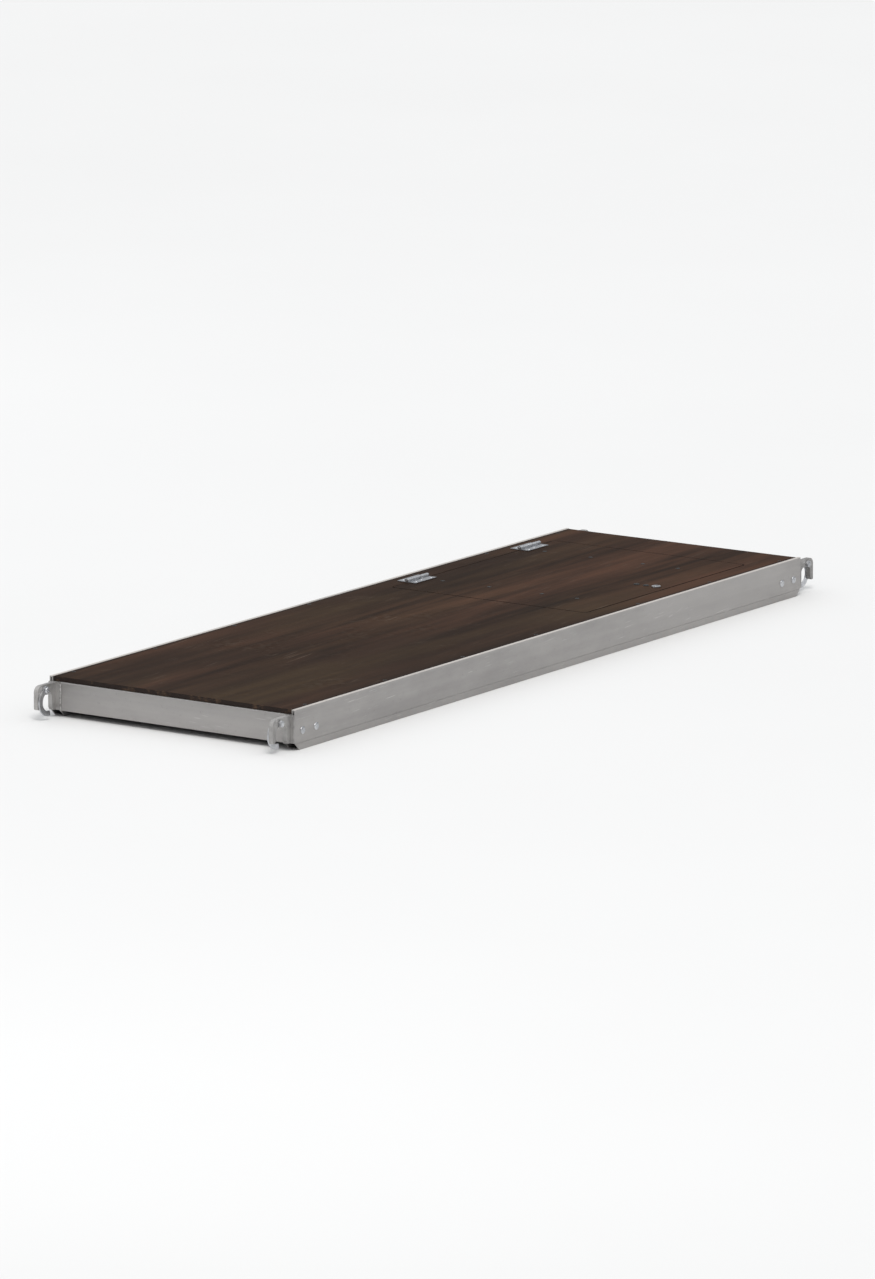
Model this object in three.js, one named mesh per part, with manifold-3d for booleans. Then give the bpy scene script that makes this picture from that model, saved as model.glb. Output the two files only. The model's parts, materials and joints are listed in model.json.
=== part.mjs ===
// A scaffold plank with a trapdoor: an aluminium frame that carries a film-faced plywood deck and
// hangs on the rungs of two ladder frames by four hooks, each with a wind lock that swings under the rung.
// Millimetres. X is across the plank, Y is along it, Z is up. The origin is at the middle of the
// plank, on the plane of the rails' feet. The trapdoor is in the half towards +Y, hinged on the -X side.
import * as THREE from "three";
import { mergeVertices } from "three/addons/utils/BufferGeometryUtils.js";
import Module from "manifold-3d";

const wasm = await Module();
wasm.setup();

// ---- Driving dimensions -------------------------------------------------------------------------

// The bay that the plank fills
const BAY_LENGTH = 2000; // centre to centre of the two rungs
const RUNG_DIAMETER = 35;

// Side rails: hollow extrusions with a lip along the outer top edge
const PLANK_WIDTH = 610; // over the rails
const RAIL_WIDTH = 26;
const RAIL_HEIGHT = 84; // to the top of the lip
const RAIL_WALL = 2.5;
const LIP_WIDTH = 7.7;
const LIP_RISE = 0.3; // above the plywood's top
const RAIL_GROOVE = 0.8; // depth of the line along the outer face
const RAIL_GROOVE_HEIGHT = 14;
const RAIL_CORNER_CUT = 16; // the slanted cut at the lower corner of each end

// Beams and cross members: rectangular hollow sections between the rails
const BEAM_WIDTH = 25;
const BEAM_HEIGHT = 60;
const CROSS_WIDTH = 30;
const CROSS_HEIGHT = 40;
const TUBE_WALL = 2.2;
const CROSS_NAMES = ["cross_member_front", "cross_member_middle"]; // spread evenly ahead of the hole

// Plywood and the trapdoor
const PLY_THICKNESS = 10;
const DECK_END_INSET = 4; // from the rail's end to the plywood's end
const DECK_SIDE_GAP = 0.8; // between the plywood and the rail's lip
const HATCH_END_MARGIN = 135; // from the rails' rear end to the hole in the deck
const HATCH_SIDE_MARGIN = 55; // from a rail's outer face to the hole
const HATCH_LENGTH = 640; // of the hole, along Y
const HATCH_CORNER = 12; // radius of the hole's corners
const HATCH_GAP = 3; // around the trapdoor leaf
const LEDGE_WIDTH = 30;
const LEDGE_DEPTH = 25;
const LEDGE_THICKNESS = 3;
const LEDGE_REACH = 15; // how far a ledge stands into the hole
const STIFFENER_WIDTH = 30;
const STIFFENER_DEPTH = 15;
const STIFFENER_WALL = 2;
const STIFFENER_INSET = 120; // from the hole's end to a stiffener's centre

// Hinges: surface butt hinges with the pin above the gap
const HINGE_LENGTH = 80;
const HINGE_INSET = 100; // from the hole's end to a hinge's centre
const HINGE_PLATE = 2; // thickness
const HINGE_REACH = 24; // from the pin to a plate's edge
const HINGE_KNUCKLES = 5;
const HINGE_BARREL_RADIUS = 4.5;
const HINGE_PIN_RADIUS = 2.2;
const HINGE_BORE_PLAY = 0.25;
const HINGE_KNUCKLE_GAP = 0.6;
const PIN_END = 1; // how far the pin stands out of the knuckles at its plain end
const PIN_HEAD_RIM = 1.2; // head's radius beyond the pin's
const PIN_HEAD_END = 2; // how far the head stands out of the knuckles

// Hooks and wind locks
const HOOK_PLATE = 10; // thickness of the claw
const HOOK_CROWN = 17; // above the throat
const HOOK_ROOT = 16.5; // between the throat and the rail's end
const HOOK_LEG = 12; // width of the outer leg
const HOOK_TIP_DROP = 14; // the outer leg's tip below the rung's centre
const HOOK_ROOT_DROP = 22; // the inner side's end below the rung's centre
const HOOK_FLANGE = 3.7; // plate that closes the rail's end
const TANG_LENGTH = 100; // inside the rail
const TANG_MARGIN = 7; // above the rail's corner cut and below its cavity's top
const THROAT_PLAY = 1; // around the rung, at the throat's sides
const SEAT_PLAY = 0.5; // above the rung
const THROAT_CORNER = 12;
const CROWN_RADIUS = 14; // of the claw's outer top corner
const TIP_SLANT = 2; // takes the sharp corner off the outer leg's tip
const MOUTH_SLANT = 5; // width of the slants that lead the rung into the throat
const OUTER_SLANT_HEIGHT = 8;
const INNER_SLANT_HEIGHT = 6;
const LOCK_THICKNESS = 4;
const LOCK_PLAY = 2; // between the rung and the wind lock
const LOCK_WIDTH = 10.5; // of the curved arm
const LOCK_PIVOT_ANGLE = 102; // degrees from inboard, counted over the top of the rung
const LOCK_TOE_ANGLE = 282; // where the arm ends, under the rung
const LOCK_EYE_RADIUS = 9;
const LOCK_SIDE_GAP = 0.5; // between the wind lock and the hook
const PIVOT_RADIUS = 4;
const PIVOT_PLAY = 0.3;
const PIVOT_HEAD_RADIUS = 7;
const PIVOT_HEAD_HEIGHT = 3.5;
const PIVOT_NUT_RADIUS = 7.4; // across corners
const PIVOT_NUT_HEIGHT = 6;
const RIVET_RADIUS = 4;
const RIVET_HEAD_RADIUS = 8;
const RIVET_HEAD_HEIGHT = 2.4;
const RIVET_INSETS = [28, 76]; // from the rail's end

// Turn latch on the trapdoor
const LATCH_INSET = 28; // from the hole's edge to the latch's axis
const LATCH_HEAD_RADIUS = 10;
const LATCH_HEAD_HEIGHT = 2.5;
const LATCH_SHAFT_RADIUS = 6;
const LATCH_SLOT_WIDTH = 2.4;
const LATCH_SLOT_DEPTH = 1.4;
const LATCH_PLATE = 3; // thickness
const LATCH_PLATE_WIDTH = 40;
const LATCH_PLATE_CORNER = 4; // radius
const LATCH_RIVET_OFFSETS = [26, 50]; // from the latch's axis towards -X
const TONGUE_THICKNESS = 4;
const TONGUE_SIDE_GAP = 2; // to the ledge when the tongue is released
const TONGUE_END_GAP = 4; // to the ledge's web when it is locked
const TONGUE_DROP = 6; // its top below the trapdoor's underside
const TONGUE_CORNER = 4; // slant at each corner of the tongue's end
const GRIP_REACH = 46;
const GRIP_RIM = 1; // of the grip's round end around the knob
const KNOB_RADIUS = 8;
const KNOB_HEIGHT = 14;
const LATCH_NUT_RADIUS = 10.2; // across corners
const LATCH_NUT_HEIGHT = 5;
const SPINDLE_END = 2; // how far the spindle stands out of the nut
const LATCH_RIVET_RADIUS = 3;
const LATCH_RIVET_HEAD_RADIUS = 7;
const LATCH_RIVET_HEAD_HEIGHT = 2.2;
const LATCH_RIVET_TAIL_RADIUS = 4.6;
const LATCH_RIVET_TAIL_HEIGHT = 1.5;

// Pull strap under the trapdoor
const STRAP_WIDTH = 28;
const STRAP_THICKNESS = 2.6;
const STRAP_GROUND_GAP = 0.5; // between the lying tail and the plane of the rails' feet
const STRAP_UPPER_BEND = 8; // radius
const STRAP_LOWER_BEND = 26; // radius
const STRAP_TAIL = 48; // the straight end after the lower bend
const STRAP_PLATE_LENGTH = 30;
const STRAP_PLATE_THICKNESS = 2;
const STRAP_PLATE_START = 3; // its edge beside the strap's upper bend
const STRAP_PLATE_CORNER = 3; // radius
const SCREW_RADIUS = 2.2;
const SCREW_LENGTH = 12;
const SCREW_HEAD_RADIUS = 4.4;
const SCREW_HEAD_HEIGHT = 2.2;
const SCREW_SPREAD = 14; // between the strap's two screws

// Clearances
const FIT = 0.3; // between faces that touch on the real plank
const HOLE_PLAY = 0.3; // around a rivet or bolt
const OVERLAP = 1; // how far a cutter passes a face, or a shaft reaches into its own head

// ---- Derived places -----------------------------------------------------------------------------

const RUNG_RADIUS = RUNG_DIAMETER / 2;
const HALF_BAY = BAY_LENGTH / 2;
const THROAT_HALF = RUNG_RADIUS + THROAT_PLAY;
const THROAT_TOP = RUNG_RADIUS + SEAT_PLAY;
const HOOK_TOP = THROAT_TOP + HOOK_CROWN; // above the rung's centre
const END_SETBACK = THROAT_HALF + HOOK_ROOT; // from the rung's centre to the rail's end
const RAIL_END = HALF_BAY - END_SETBACK;
const RAIL_OUTER = PLANK_WIDTH / 2;
const RAIL_INNER = RAIL_OUTER - RAIL_WIDTH;
const RAIL_MIDDLE = RAIL_OUTER - RAIL_WIDTH / 2;
const LEDGE_LEVEL = RAIL_HEIGHT - LIP_RISE - PLY_THICKNESS - FIT; // the top of what carries plywood
const RUNG_HEIGHT = LEDGE_LEVEL - HOOK_TOP; // the hooks end level with the plywood's underside
const DECK_UNDERSIDE = LEDGE_LEVEL + FIT;
const DECK_TOP = DECK_UNDERSIDE + PLY_THICKNESS;
const BEAM_PLACE = RAIL_END - FIT - BEAM_WIDTH / 2;
const HATCH_HALF_X = RAIL_OUTER - HATCH_SIDE_MARGIN;
const HATCH_HALF_Y = HATCH_LENGTH / 2;
const HATCH_REAR = RAIL_END - HATCH_END_MARGIN;
const HATCH_FRONT = HATCH_REAR - HATCH_LENGTH;
const HATCH_CENTRE = (HATCH_FRONT + HATCH_REAR) / 2;
const LOCK_INNER = RUNG_RADIUS + LOCK_PLAY;
const LOCK_OUTER = LOCK_INNER + LOCK_WIDTH;
const LOCK_MIDDLE = (LOCK_INNER + LOCK_OUTER) / 2;
const PIVOT_Y = LOCK_MIDDLE * Math.cos(THREE.MathUtils.degToRad(LOCK_PIVOT_ANGLE));
const PIVOT_Z = LOCK_MIDDLE * Math.sin(THREE.MathUtils.degToRad(LOCK_PIVOT_ANGLE));
const HINGE_X = -HATCH_HALF_X + HATCH_GAP / 2;
const SCREW_PLACES = [-1, 1].map((side) => [STRAP_PLATE_LENGTH / 2, (side * SCREW_SPREAD) / 2]);
const HINGE_Z = DECK_TOP + HINGE_BARREL_RADIUS;
const LEDGE_INNER = HATCH_HALF_X - LEDGE_REACH;
const LEDGE_OUTER = LEDGE_INNER + LEDGE_WIDTH;
const LATCH_X = HATCH_HALF_X - LATCH_INSET;
const TONGUE_HALF_WIDTH = LEDGE_INNER - TONGUE_SIDE_GAP - LATCH_X;
const TONGUE_REACH = LEDGE_OUTER - LEDGE_THICKNESS - TONGUE_END_GAP - LATCH_X;
const TONGUE_FOOT = -TONGUE_DROP - TONGUE_THICKNESS;
const STRAP_DROP = DECK_UNDERSIDE - STRAP_GROUND_GAP - STRAP_THICKNESS / 2;

// ---- Materials ----------------------------------------------------------------------------------

const material = (color, roughness, metalness) =>
  new THREE.MeshStandardMaterial({ color, roughness, metalness });
const ALUMINIUM = material(0xb4b1b0, 0.42, 0.9);
const CAST_ALUMINIUM = material(0xa9a6a4, 0.55, 0.85);
const PLYWOOD = material(0x4e3a2e, 0.5, 0);
const ZINC_STEEL = material(0xb9bcc0, 0.35, 1);
const BLACK_STEEL = material(0x17181a, 0.45, 0.6);
const BLACK_PLASTIC = material(0x141416, 0.5, 0);
const WEBBING = material(0x0d0d0f, 0.85, 0);

// ---- Geometry helpers ---------------------------------------------------------------------------

const ROUND = 20; // segments of a full circle on small round pieces
const ARC = 4; // divisions that set how finely an outline's curves are cut

// Turns an extrusion so that its outline lies across one axis: (u, v) become the two axes that follow
// in the order named, and the extrusion, centred on zero, runs along the axis itself.
const BASES = {
  x: new THREE.Matrix4().makeBasis(
    new THREE.Vector3(0, 1, 0),
    new THREE.Vector3(0, 0, 1),
    new THREE.Vector3(1, 0, 0),
  ),
  // the outline's u is X and its v is Z, so the extrusion runs towards -Y
  y: new THREE.Matrix4().makeBasis(
    new THREE.Vector3(1, 0, 0),
    new THREE.Vector3(0, 0, 1),
    new THREE.Vector3(0, -1, 0),
  ),
  z: new THREE.Matrix4(),
};

function extrude(shape, depth, axis, curveSegments = ARC) {
  const geometry = new THREE.ExtrudeGeometry(shape, { depth, bevelEnabled: false, curveSegments });
  return geometry.translate(0, 0, -depth / 2).applyMatrix4(BASES[axis]);
}

function outline(points) {
  return new THREE.Shape(points.map(([u, v]) => new THREE.Vector2(u, v)));
}

// A rectangle from its lowest to its highest corner, with rounded corners if a radius is given.
function rectangle(u0, v0, u1, v1, radius = 0) {
  if (!radius) return outline([[u0, v0], [u1, v0], [u1, v1], [u0, v1]]);
  const quarter = Math.PI / 2;
  return new THREE.Shape()
    .absarc(u1 - radius, v0 + radius, radius, -quarter, 0)
    .absarc(u1 - radius, v1 - radius, radius, 0, quarter)
    .absarc(u0 + radius, v1 - radius, radius, quarter, 2 * quarter)
    .absarc(u0 + radius, v0 + radius, radius, 2 * quarter, 3 * quarter);
}

function circle(u, v, radius) {
  return new THREE.Shape().absarc(u, v, radius, 0, 2 * Math.PI);
}

// A tube's outline: a rectangle with a smaller one taken out.
function hollow(u0, v0, u1, v1, wall) {
  const shape = rectangle(u0, v0, u1, v1);
  shape.holes.push(rectangle(u0 + wall, v0 + wall, u1 - wall, v1 - wall));
  return shape;
}

function box(x0, y0, z0, x1, y1, z1) {
  return new THREE.BoxGeometry(x1 - x0, y1 - y0, z1 - z0).translate(
    (x0 + x1) / 2,
    (y0 + y1) / 2,
    (z0 + z1) / 2,
  );
}

// A cylinder or, with 6 sides, a hexagon along an axis, from one end to the other.
function rod(axis, radius, from, to, sides = ROUND) {
  const geometry = new THREE.CylinderGeometry(radius, radius, to - from, sides);
  if (axis === "x") geometry.rotateZ(-Math.PI / 2);
  if (axis === "z") geometry.rotateX(Math.PI / 2);
  const middle = (from + to) / 2;
  const at = { x: [middle, 0, 0], y: [0, middle, 0], z: [0, 0, middle] }[axis];
  return geometry.translate(...at);
}

// What an upright hole takes away: it starts well below and runs up through everything or to a level.
function drill(radius, x, y, to = RAIL_HEIGHT) {
  return rod("z", radius + HOLE_PLAY, -RAIL_HEIGHT, to).translate(x, y, 0);
}

function toSolid(geometry) {
  const bare = geometry.index ? geometry.toNonIndexed() : geometry.clone();
  bare.deleteAttribute("normal");
  bare.deleteAttribute("uv");
  const merged = mergeVertices(bare, 1e-4);
  return new wasm.Manifold(
    new wasm.Mesh({
      numProp: 3,
      vertProperties: merged.attributes.position.array,
      triVerts: new Uint32Array(merged.index.array),
    }),
  );
}

function toGeometry(solid) {
  const mesh = solid.getMesh();
  const geometry = new THREE.BufferGeometry();
  geometry.setAttribute("position", new THREE.BufferAttribute(mesh.vertProperties, 3));
  geometry.setIndex(new THREE.BufferAttribute(mesh.triVerts, 1));
  geometry.computeVertexNormals();
  return geometry;
}

// Joins the first list of geometries and cuts the second list out of the result.
function combine(joined, cuts = []) {
  let solid = toSolid(joined[0]);
  for (const geometry of joined.slice(1)) solid = solid.add(toSolid(geometry));
  for (const geometry of cuts) solid = solid.subtract(toSolid(geometry));
  return toGeometry(solid);
}

function mesh(name, geometry, finish, x = 0, y = 0, z = 0) {
  const made = new THREE.Mesh(geometry, finish);
  made.name = name;
  made.position.set(x, y, z);
  return made;
}

// ---- Frame --------------------------------------------------------------------------------------

// The right-hand rail's section, across Y: a box with a lip on its outer top edge and a groove line.
function railSection() {
  const groove = RAIL_GROOVE_HEIGHT;
  const shape = outline([
    [RAIL_INNER, 0],
    [RAIL_OUTER, 0],
    [RAIL_OUTER, groove - RAIL_GROOVE],
    [RAIL_OUTER - RAIL_GROOVE, groove],
    [RAIL_OUTER, groove + RAIL_GROOVE],
    [RAIL_OUTER, RAIL_HEIGHT],
    [RAIL_OUTER - LIP_WIDTH, RAIL_HEIGHT],
    [RAIL_OUTER - LIP_WIDTH, LEDGE_LEVEL],
    [RAIL_INNER, LEDGE_LEVEL],
  ]);
  shape.holes.push(
    outline([
      [RAIL_INNER + RAIL_WALL, RAIL_WALL],
      [RAIL_OUTER - RAIL_WALL, RAIL_WALL],
      [RAIL_OUTER - RAIL_WALL, RAIL_HEIGHT - RAIL_WALL],
      [RAIL_OUTER - LIP_WIDTH + RAIL_WALL, RAIL_HEIGHT - RAIL_WALL],
      [RAIL_OUTER - LIP_WIDTH + RAIL_WALL, LEDGE_LEVEL - RAIL_WALL],
      [RAIL_INNER + RAIL_WALL, LEDGE_LEVEL - RAIL_WALL],
    ]),
  );
  return shape;
}

// The rail with its lower corners cut off at a slant and holes for the hooks' rivets.
function railGeometry() {
  const bar = extrude(railSection(), 2 * RAIL_END, "y");
  const cuts = [];
  for (const end of [-1, 1]) {
    const corner = outline(
      [
        [end * (RAIL_END + OVERLAP), -OVERLAP],
        [end * (RAIL_END + OVERLAP), RAIL_CORNER_CUT + OVERLAP],
        [end * (RAIL_END - RAIL_CORNER_CUT - OVERLAP), -OVERLAP],
      ].sort((a, b) => end * (a[0] - b[0])),
    );
    cuts.push(extrude(corner, 2 * RAIL_WIDTH, "x").translate(RAIL_MIDDLE, 0, 0));
    for (const inset of RIVET_INSETS) {
      const hole = rod("x", RIVET_RADIUS + HOLE_PLAY, RAIL_MIDDLE, RAIL_OUTER + OVERLAP);
      cuts.push(hole.translate(0, end * (RAIL_END - inset), RUNG_HEIGHT));
    }
  }
  return combine([bar], cuts);
}

function rails() {
  const right = mesh("side_rail_right", railGeometry(), ALUMINIUM);
  const left = mesh("side_rail_left", right.geometry, ALUMINIUM);
  left.rotation.z = Math.PI; // both ends are alike, so a half turn makes the other side
  return [right, left];
}

// A tube across the plank, between the rails, with its top at the level that carries the plywood.
function crossTube(name, place, width, height) {
  const section = hollow(-width / 2, LEDGE_LEVEL - height, width / 2, LEDGE_LEVEL, TUBE_WALL);
  return mesh(name, extrude(section, 2 * (RAIL_INNER - FIT), "x"), ALUMINIUM, 0, place, 0);
}

function crossTubes() {
  const spacing = (HATCH_FRONT + BEAM_PLACE) / (CROSS_NAMES.length + 1);
  const members = CROSS_NAMES.map((name, i) => [name, -BEAM_PLACE + (i + 1) * spacing]);
  members.push(["hatch_trimmer_front", HATCH_FRONT], ["hatch_trimmer_rear", HATCH_REAR]);
  return [
    crossTube("end_beam_front", -BEAM_PLACE, BEAM_WIDTH, BEAM_HEIGHT),
    crossTube("end_beam_rear", BEAM_PLACE, BEAM_WIDTH, BEAM_HEIGHT),
    ...members.map(([name, place]) => crossTube(name, place, CROSS_WIDTH, CROSS_HEIGHT)),
  ];
}

// An angle under each long edge of the hole: its flat flange carries the deck's margin and the leaf.
function ledges() {
  const section = outline([
    [LEDGE_INNER, LEDGE_LEVEL - LEDGE_THICKNESS],
    [LEDGE_OUTER - LEDGE_THICKNESS, LEDGE_LEVEL - LEDGE_THICKNESS],
    [LEDGE_OUTER - LEDGE_THICKNESS, LEDGE_LEVEL - LEDGE_DEPTH],
    [LEDGE_OUTER, LEDGE_LEVEL - LEDGE_DEPTH],
    [LEDGE_OUTER, LEDGE_LEVEL],
    [LEDGE_INNER, LEDGE_LEVEL],
  ]);
  const geometry = extrude(section, HATCH_LENGTH - CROSS_WIDTH - 2 * FIT, "y");
  const latchSide = mesh("hatch_ledge_latch_side", geometry, ALUMINIUM, 0, HATCH_CENTRE, 0);
  const hingeSide = mesh("hatch_ledge_hinge_side", geometry, ALUMINIUM, 0, HATCH_CENTRE, 0);
  hingeSide.rotation.z = Math.PI;
  return [latchSide, hingeSide];
}

// The plywood deck in one panel, with the hole for the trapdoor.
function deckPanel() {
  const halfWidth = RAIL_OUTER - LIP_WIDTH - DECK_SIDE_GAP;
  const halfLength = RAIL_END - DECK_END_INSET;
  const shape = rectangle(-halfWidth, -halfLength, halfWidth, halfLength);
  shape.holes.push(
    rectangle(-HATCH_HALF_X, HATCH_FRONT, HATCH_HALF_X, HATCH_REAR, HATCH_CORNER),
  );
  const middle = DECK_UNDERSIDE + PLY_THICKNESS / 2;
  return mesh("deck_panel", extrude(shape, PLY_THICKNESS, "z"), PLYWOOD, 0, 0, middle);
}

// ---- Hooks and wind locks -----------------------------------------------------------------------
// Each corner is a group with its origin at the rung's centre, in the middle of the rail's width.
// Its -Y points away from the plank, so the rear corners are turned by half a turn.

// The claw: over the rung, down its outer side, with a flat seat and rounded corners in the throat.
function clawShape() {
  const outer = -(THROAT_HALF + HOOK_LEG);
  const cornerV = THROAT_TOP - THROAT_CORNER;
  const cornerU = THROAT_HALF - THROAT_CORNER;
  const root = END_SETBACK - FIT;
  const quarter = Math.PI / 2;
  const shape = new THREE.Shape();
  shape.moveTo(root, -HOOK_ROOT_DROP);
  shape.lineTo(root, HOOK_TOP);
  const crownV = HOOK_TOP - CROWN_RADIUS;
  shape.absarc(outer + CROWN_RADIUS, crownV, CROWN_RADIUS, quarter, 2 * quarter);
  shape.lineTo(outer, -HOOK_TIP_DROP + TIP_SLANT);
  shape.lineTo(outer + TIP_SLANT, -HOOK_TIP_DROP);
  shape.lineTo(-THROAT_HALF - MOUTH_SLANT, -HOOK_TIP_DROP);
  shape.lineTo(-THROAT_HALF, -HOOK_TIP_DROP + OUTER_SLANT_HEIGHT);
  shape.absarc(-cornerU, cornerV, THROAT_CORNER, 2 * quarter, quarter, true);
  shape.absarc(cornerU, cornerV, THROAT_CORNER, quarter, 0, true);
  shape.lineTo(THROAT_HALF, -HOOK_ROOT_DROP + INNER_SLANT_HEIGHT);
  shape.lineTo(THROAT_HALF + MOUTH_SLANT, -HOOK_ROOT_DROP);
  return shape;
}

// One casting: claw, the flange that closes the rail's end, and the tang inside the rail.
function hookGeometry() {
  const inside = RAIL_WIDTH / 2 - RAIL_WALL - FIT;
  const flangeStart = END_SETBACK - FIT - HOOK_FLANGE;
  const flangeFoot = RAIL_CORNER_CUT - RUNG_HEIGHT;
  const tangEnd = END_SETBACK + TANG_LENGTH;
  const tangFoot = RAIL_CORNER_CUT + TANG_MARGIN - RUNG_HEIGHT;
  const tangTop = LEDGE_LEVEL - RAIL_WALL - TANG_MARGIN - RUNG_HEIGHT;
  const parts = [
    extrude(clawShape(), HOOK_PLATE, "x", 2 * ARC),
    box(-RAIL_WIDTH / 2, flangeStart, flangeFoot, RAIL_WIDTH / 2, END_SETBACK - FIT, HOOK_TOP),
    box(-inside, flangeStart, tangFoot, inside, tangEnd, tangTop),
  ];
  const holes = RIVET_INSETS.map((inset) =>
    rod("x", RIVET_RADIUS + HOLE_PLAY, -RAIL_WIDTH, RAIL_WIDTH).translate(0, END_SETBACK + inset, 0),
  );
  const pivot = rod("x", PIVOT_RADIUS + PIVOT_PLAY, -RAIL_WIDTH, RAIL_WIDTH);
  return combine(parts, [...holes, pivot.translate(0, PIVOT_Y, PIVOT_Z)]);
}

// A curved arm round the outer side of the rung, from the eye on top to the toe underneath.
function windLockGeometry() {
  const start = THREE.MathUtils.degToRad(LOCK_PIVOT_ANGLE);
  const end = THREE.MathUtils.degToRad(LOCK_TOE_ANGLE);
  const arm = new THREE.Shape();
  arm.absarc(0, 0, LOCK_OUTER, start, end);
  arm.absarc(0, 0, LOCK_INNER, end, start, true);
  const eye = circle(PIVOT_Y, PIVOT_Z, LOCK_EYE_RADIUS);
  const bore = rod("x", PIVOT_RADIUS + PIVOT_PLAY, -LOCK_THICKNESS, LOCK_THICKNESS);
  return combine(
    [extrude(arm, LOCK_THICKNESS, "x", 4 * ARC), extrude(eye, LOCK_THICKNESS, "x", ROUND / 2)],
    [bore.translate(0, PIVOT_Y, PIVOT_Z)],
  );
}

// The bolt that the wind lock swings on: its head outside the lock, its nut on the hook's far side.
function pivotGeometries() {
  const lockFace = HOOK_PLATE / 2 + LOCK_SIDE_GAP + LOCK_THICKNESS + LOCK_SIDE_GAP;
  const nutFace = -HOOK_PLATE / 2 - FIT;
  const nutEnd = nutFace - PIVOT_NUT_HEIGHT;
  const bolt = combine([
    rod("x", PIVOT_HEAD_RADIUS, lockFace, lockFace + PIVOT_HEAD_HEIGHT),
    rod("x", PIVOT_RADIUS, nutEnd - OVERLAP, lockFace + OVERLAP),
  ]);
  const nut = combine(
    [rod("x", PIVOT_NUT_RADIUS, nutEnd, nutFace, 6)],
    [rod("x", PIVOT_RADIUS + HOLE_PLAY, nutEnd - OVERLAP, nutFace + OVERLAP)],
  );
  return { bolt, nut };
}

function rivetGeometry() {
  const face = RAIL_WIDTH / 2;
  const headStart = face + FIT;
  return combine([
    rod("x", RIVET_RADIUS, -face + RAIL_WALL + OVERLAP, headStart + OVERLAP),
    rod("x", RIVET_HEAD_RADIUS, headStart, headStart + RIVET_HEAD_HEIGHT),
  ]);
}

function corners() {
  const hook = hookGeometry();
  const windLock = windLockGeometry();
  const { bolt, nut } = pivotGeometries();
  const rivet = rivetGeometry();
  const lockSide = HOOK_PLATE / 2 + LOCK_SIDE_GAP + LOCK_THICKNESS / 2;
  return ["front", "rear"].flatMap((end) =>
    ["left", "right"].map((side) => {
      const where = `${end}_${side}`;
      const right = side === "right" ? 1 : -1;
      const rear = end === "rear" ? 1 : -1;
      const outwards = -right * rear; // the sign of the outer side in the corner's own frame
      const corner = new THREE.Group();
      corner.position.set(right * RAIL_MIDDLE, rear * HALF_BAY, RUNG_HEIGHT);
      corner.rotation.z = rear > 0 ? Math.PI : 0;
      const pivot = new THREE.Group();
      pivot.position.set(0, PIVOT_Y, PIVOT_Z);
      pivot.rotation.z = outwards > 0 ? Math.PI : 0;
      pivot.add(mesh(`pivot_bolt_${where}`, bolt, ZINC_STEEL));
      pivot.add(mesh(`pivot_nut_${where}`, nut, ZINC_STEEL));
      corner.add(mesh(`hook_${where}`, hook, CAST_ALUMINIUM), pivot);
      corner.add(mesh(`wind_lock_${where}`, windLock, ZINC_STEEL, -outwards * lockSide, 0, 0));
      RIVET_INSETS.forEach((inset, i) => {
        const made = mesh(`hook_rivet_${where}_${i + 1}`, rivet, ZINC_STEEL, 0, END_SETBACK + inset, 0);
        made.rotation.z = outwards > 0 ? 0 : Math.PI;
        corner.add(made);
      });
      return corner;
    }),
  );
}

// ---- Trapdoor -----------------------------------------------------------------------------------

function leafPanel() {
  const halfX = HATCH_HALF_X - HATCH_GAP;
  const halfY = HATCH_HALF_Y - HATCH_GAP;
  const shape = rectangle(-halfX, -halfY, halfX, halfY, HATCH_CORNER - HATCH_GAP);
  const screwReach = SCREW_LENGTH - STRAP_THICKNESS - STRAP_PLATE_THICKNESS - PLY_THICKNESS / 2;
  const geometry = combine(
    [extrude(shape, PLY_THICKNESS, "z")],
    [
      drill(LATCH_SHAFT_RADIUS, LATCH_X, 0),
      ...LATCH_RIVET_OFFSETS.map((offset) => drill(LATCH_RIVET_RADIUS, LATCH_X - offset, 0)),
      ...SCREW_PLACES.map(([x, y]) => drill(SCREW_RADIUS, x, y, screwReach)),
    ],
  );
  return mesh("hatch_leaf", geometry, PLYWOOD, 0, 0, DECK_UNDERSIDE + PLY_THICKNESS / 2);
}

// A channel under the leaf, open downwards, across the plank.
function stiffeners() {
  const half = STIFFENER_WIDTH / 2;
  const top = DECK_UNDERSIDE - FIT;
  const foot = top - STIFFENER_DEPTH;
  const section = outline([
    [-half, foot],
    [-half + STIFFENER_WALL, foot],
    [-half + STIFFENER_WALL, top - STIFFENER_WALL],
    [half - STIFFENER_WALL, top - STIFFENER_WALL],
    [half - STIFFENER_WALL, foot],
    [half, foot],
    [half, top],
    [-half, top],
  ]);
  const geometry = extrude(section, 2 * (LEDGE_INNER - HATCH_GAP), "x");
  const place = HATCH_HALF_Y - STIFFENER_INSET;
  return [
    mesh("hatch_stiffener_front", geometry, ALUMINIUM, 0, -place, 0),
    mesh("hatch_stiffener_rear", geometry, ALUMINIUM, 0, place, 0),
  ];
}

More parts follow.
